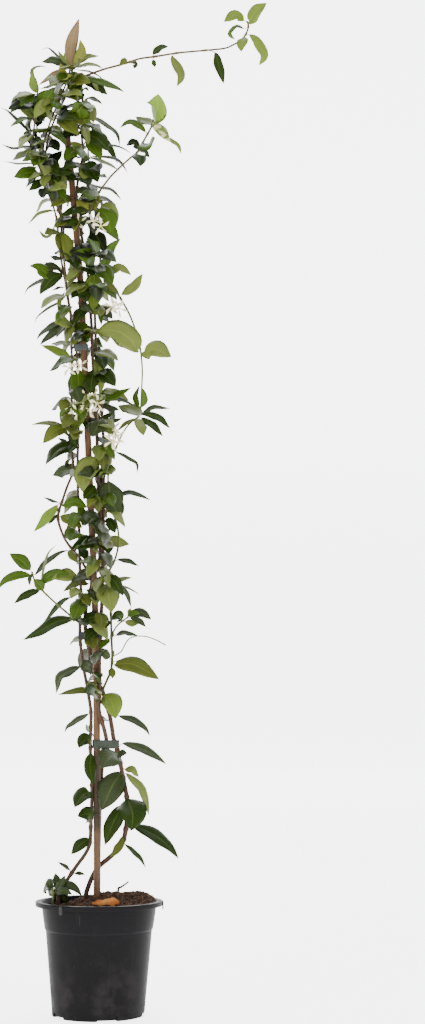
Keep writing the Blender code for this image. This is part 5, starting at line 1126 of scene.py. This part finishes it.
def buildSoil():
    settings, wall = soilSettings, potSettings["wall"]
    draw = np.random.default_rng(settings["seed"])
    turns = fullTurn(settings["steps"])
    radii = (potRadius(settings["edge"]) - wall - 0.3) * np.linspace(0.02, 1, settings["rings"])[:, None] ** 0.8
    x, y = radii * np.cos(turns), radii * np.sin(turns)
    walls = [levelRing(potRadius(z) - wall - 0.35, turns, z)[None] for z in settings["depths"]]
    rings = np.concatenate([np.stack([x, y, soilTop(x, y)], -1), *walls])[::-1]
    fill = closedShape(rings, (0, 0, settings["depths"][-1]), (0, 0, soilTop(0.0, 0.0)))
    Batch().add(fill).build("soil_fill", "soil", "soil", "soil")

    count = settings["crumbs"]
    angle = draw.uniform(0, 2 * math.pi, count)
    reach = settings["crumbReach"] * np.sqrt(draw.uniform(0, 1, count))
    x, y = reach * np.cos(angle), reach * np.sin(angle)
    size = draw.uniform(0.5, 1.9, count) ** 1.3
    centres = np.column_stack([x, y, soilTop(x, y) + 0.25 * size])
    lumps = crumbShape(centres, size, draw.uniform(0, 6.28, count), draw)
    tints = blend(*settings["crumbTones"], draw.uniform(0, 1, (count, 1)) ** 2)
    crumbs = Batch().add(lumps, np.repeat(tints, 6, 0))
    t = np.linspace(-1, 1, 6)
    for _ in range(settings["fibres"]):
        angle, reach = draw.uniform(0, 6.28), settings["fibreReach"] * math.sqrt(draw.uniform(0, 1))
        spin, long, bow = draw.uniform(0, 6.28), draw.uniform(2, 7), draw.uniform(-1.5, 1.5)
        x = reach * math.cos(angle) + long * t * math.cos(spin) - bow * t ** 2 * math.sin(spin)
        y = reach * math.sin(angle) + long * t * math.sin(spin) + bow * t ** 2 * math.cos(spin)
        pull = np.minimum(1, settings["fibreEdge"] / np.maximum(np.hypot(x, y), 1))
        x, y = x * pull, y * pull
        line = np.column_stack([x, y, soilTop(x, y) + 0.3 + 0.8 * (1 - t ** 2)])
        crumbs.add(tubeShape(line, draw.uniform(0.2, 0.5), 5, (0, 0, 1)), settings["fibreTint"])
    made = crumbs.build("soil_crumbs", "crumb", "soil")
    made.data.polygons.foreach_set("use_smooth", np.zeros(len(made.data.polygons), bool))


chipSettings = {
    "centre": (12.0, -50.0), "rings": 14, "steps": 72, "lift": 1.4, "sharp": math.radians(45),
    # outline round the chip: x, y and thickness there
    "outline": [(-18, -3, 2), (-6, -7, 4), (10, -6, 5.5), (17, -2, 6), (14, 5, 5), (-2, 7, 4), (-15, 4, 2.5)]}


def buildChip():
    # the outline drawn in towards the centre on top, with grain ridges along the chip
    settings = chipSettings
    outline = np.array(settings["outline"], float)
    t = np.linspace(0, len(outline), settings["steps"], endpoint=False)
    k = t.astype(int)
    here = outline[k] + (np.roll(outline, -1, 0)[k] - outline[k]) * (t - k)[:, None]
    here[:, :2] *= (1 + 0.05 * np.sin(t * 9) + 0.04 * np.sin(t * 23))[:, None] * 0.97
    share = np.concatenate([np.linspace(0.06, 1, settings["rings"]), [1.0, 0.97, 0.5]])[:, None]
    x, y = (here[:, i] * share + settings["centre"][i] for i in range(2))
    ground, thick = soilHeight(x, y) + settings["lift"], here[:, 2]
    ridge = 0.45 * np.sin(y * 3.1 + 0.6 * np.sin(x * 0.6)) + 0.3 * np.sin(y * 6.7 + x * 0.4)
    ridge = ridge + 0.35 * np.sin(x * 0.9 + y)
    domed = thick * (1 - 0.35 * share ** 6) + 1.4 * (1 - share ** 2) + ridge
    level = np.arange(len(share))[:, None] - settings["rings"]
    z = ground + np.where(level < 0, domed, np.where(level < 1, thick * 0.3, -0.6))
    chip = closedShape(np.stack([x, y, z], -1)[::-1])
    made = Batch().add(chip).build("chip_bark", "chip", "bark", "bark_chip")
    made.data.set_sharp_from_angle(angle=settings["sharp"])


twigSettings = {"route": [(24, 24, 118), (24, 24, 159), (27, 24, 163), (33, 24, 167), (38, 24, 171)],
                "radii": (1.5, 1.5, 1.4, 1.2, 1.0), "colour": (0.024, 0.017, 0.013)}


def buildTwig():
    line = smoothPath(twigSettings["route"], 1.5)
    radii = np.interp(pathShares(line), pathShares(twigSettings["route"]), twigSettings["radii"])
    radii = radii * (1 + 0.12 * np.sin(runningLength(line) * 1.7))
    Batch().add(tubeShape(line, radii, 10), twigSettings["colour"]).build("twig_bare", "stem", "twig", "twig")


buildSoil()
buildChip()
buildTwig()
print("soil, chip and twig built")


def buildCane():
    # a straight tube with a raised ring and a groove at each node, tinted by tint alpha: 0 at the scars
    settings = caneSettings
    extra = [cane.atHeight(z + lift)[0] for z in settings["nodes"] for lift in settings["nodeRings"]]
    line = np.vstack([smoothPath(cane.axis, 3.0), extra])
    line = line[np.argsort(line[:, 2])]
    line = line[np.concatenate([[True], np.diff(line[:, 2]) > settings["leastGap"]])]
    radii = settings["radius"] * (1 - 0.02 * (1 - np.cos(line[:, 2] / 37)))
    scar = np.zeros(len(line))
    for z in settings["nodes"]:
        away = line[:, 2] - z
        radii = radii + settings["swell"] * np.exp(-(away / 1.5) ** 2)
        radii = radii - 0.35 * np.exp(-((away + 1.9) / 0.7) ** 2)
        scar = np.maximum(scar, np.exp(-((away + 1.4) / 1.2) ** 2))
    tints = np.column_stack([np.ones((len(line), 3)), 1 - scar])
    tints = withEnds(np.repeat(tints, settings["sides"], 0))
    tints[-1] = (1, 1, 1, settings["cutEnd"])
    tube = tubeShape(line, radii, settings["sides"])
    made = Batch().add(tube, tints).build("cane_bamboo", "cane", "cane", "cane")
    made.data.set_sharp_from_angle(angle=settings["sharp"])


# How the tape is wound, and its colour on each tie.
tapeSettings = {"thickness": 0.9, "steps": 96, "sides": 16, "gap": 0.3,
                "tie_1": (0.022, 0.029, 0.019), "tie_2": (0.009, 0.010, 0.009), "tie_3": (0.078, 0.088, 0.062),
                "tie_4": (0.046, 0.054, 0.050), "tie_5": (0.050, 0.046, 0.036), "tie_6": (0.013, 0.015, 0.013)}


def tapeOutline(z, tape, bound, extra, turns):
    # support lines round the circles of what is bound, and the corners where neighbouring lines meet
    circles = [(x, y, 1.0) for x, y in extra]
    atNode = any(abs(z - node) < tape for node in caneSettings["nodes"])
    for stem in [cane] + [stems[name] for name in bound]:
        for lift in (-tape / 2, 0, tape / 2):
            (x, y, _), radius = stem.atHeight(z + lift)
            circles.append((x, y, radius + (caneSettings["swell"] if stem is cane and atNode else 0)))
    x, y, radii = np.array(circles).T[..., None]
    cos, sin = np.cos(turns), np.sin(turns)
    reach = (x * cos + y * sin + radii).max(0) + tapeSettings["gap"]
    slope = (np.roll(reach, -1) - np.roll(reach, 1)) / (2 * turns[1])
    return np.column_stack([reach * cos - slope * sin, reach * sin + slope * cos])


def buildTies():
    turns, t = fullTurn(tapeSettings["steps"]), fullTurn(tapeSettings["sides"])
    flatIn, flatUp = squared(np.cos(t), 0.5), squared(np.sin(t), 0.35)
    # a ring has no ends: its last section joins the first
    count, sides = len(turns), len(t)
    i, j = np.meshgrid(np.arange(count), np.arange(sides), indexing="ij")
    k, m = (i + 1) % count, (j + 1) % sides
    quads = np.stack([i * sides + j, k * sides + j, k * sides + m, i * sides + m], -1).reshape(-1, 4)
    outward = levelRing(1, turns, 0)[:, :2]
    turns = turns[:, None]
    for number, (name, (z, tape, bound, extra)) in enumerate(tieSettings.items()):
        draw = np.random.default_rng(number + 3)
        outline = tapeOutline(z, tape, bound, extra, turns[:, 0])
        ripple = 0.30 * np.sin(turns * 5 + draw.uniform(0, 6)) + 0.2 * np.sin(turns * 11 + draw.uniform(0, 6))
        crease = 0.18 * np.sin(turns * 17 + flatUp * 2.2 + draw.uniform(0, 6)) * (flatIn > 0)
        deep = tapeSettings["thickness"] / 2 * (1 + flatIn) + crease
        tall = tape / 2 * flatUp * (1 + 0.07 * np.sin(turns * 3 + number)) + ripple
        flat = outline[:, None] + outward[:, None] * deep[..., None]
        points = np.concatenate([flat, (z + tall)[..., None]], -1).reshape(-1, 3)
        Batch().add((points, [quads]), tapeSettings[name]).build(name + "_tape", "tape", "tie", name)


buildCane()
buildTies()
print("cane and ties built")


stageSettings = {"floorSize": 44000.0, "wallY": 9000.0, "bend": 3000.0, "colour": (0.90, 0.90, 0.90, 1),
                 "glow": 3.4}
# Each light: place, target and size in metres, and power.
lightSettings = {"key": ((-1.7, -2.3, 2.5), (0.0, 0.0, 0.75), 1.6, 44),
                 "fill": ((2.4, -1.9, 1.5), (0.0, 0.0, 0.65), 2.2, 12),
                 "top": ((0.2, 0.6, 3.2), (0.0, 0.0, 0.6), 2.0, 24)}
worldStrength = 1.1
# The camera's place is in metres too.
cameraSettings = {"place": (0.15117, -2.4, 0.385), "pitch": 0.11825, "lens": 62.06, "sensor": 36.0}


def buildStage():
    # a floor that curves up into a wall
    settings = stageSettings
    half, wall, radius = settings["floorSize"] / 2, settings["wallY"], settings["bend"]
    bend = np.linspace(0, math.pi / 2, 12)
    y = np.concatenate([[-half], wall + radius * np.sin(bend), [wall + radius]])
    z = np.concatenate([[0], radius * (1 - np.cos(bend)), [half]])
    points = np.vstack([np.column_stack([np.full(len(y), x), y, z]) for x in (-half, half)]) * millimetre
    faces = [(k, k + len(y), k + len(y) + 1, k + 1) for k in range(len(y) - 1)]
    mesh = bpy.data.meshes.new("studio_floor")
    mesh.from_pydata(points.tolist(), [], faces)
    mesh.polygons.foreach_set("use_smooth", np.ones(len(faces), bool))
    paper = Finish("paleFloor", 0.9, Base_Color=settings["colour"], Emission_Strength=settings["glow"],
                   Emission_Color=(1, 1, 1, 1))
    mesh.materials.append(paper.material)
    addObject("studio_floor", mesh)


def buildLights():
    for name, (place, target, size, power) in lightSettings.items():
        light = bpy.data.lights.new(name, "AREA")
        light.size, light.energy = size, power
        made = addObject(name, light)
        made.location = place
        x, y, z = np.subtract(target, place)
        made.rotation_euler = (math.pi / 2 + math.atan2(z, math.hypot(x, y)), 0, math.atan2(-x, y))
    world = bpy.data.worlds.new("studio")
    world.use_nodes = True
    world.node_tree.nodes["Background"].inputs["Color"].default_value = (1, 1, 1, 1)
    world.node_tree.nodes["Background"].inputs["Strength"].default_value = worldStrength
    bpy.context.scene.world = world


def buildCamera():
    settings = cameraSettings
    lens = bpy.data.cameras.new("front")
    lens.lens, lens.sensor_width = settings["lens"], settings["sensor"]
    camera = addObject("front", lens)
    camera.location = settings["place"]
    camera.rotation_euler = (math.pi / 2 + settings["pitch"], 0, 0)
    bpy.context.scene.camera = camera


buildStage()
buildLights()
buildCamera()
print("scene ready")
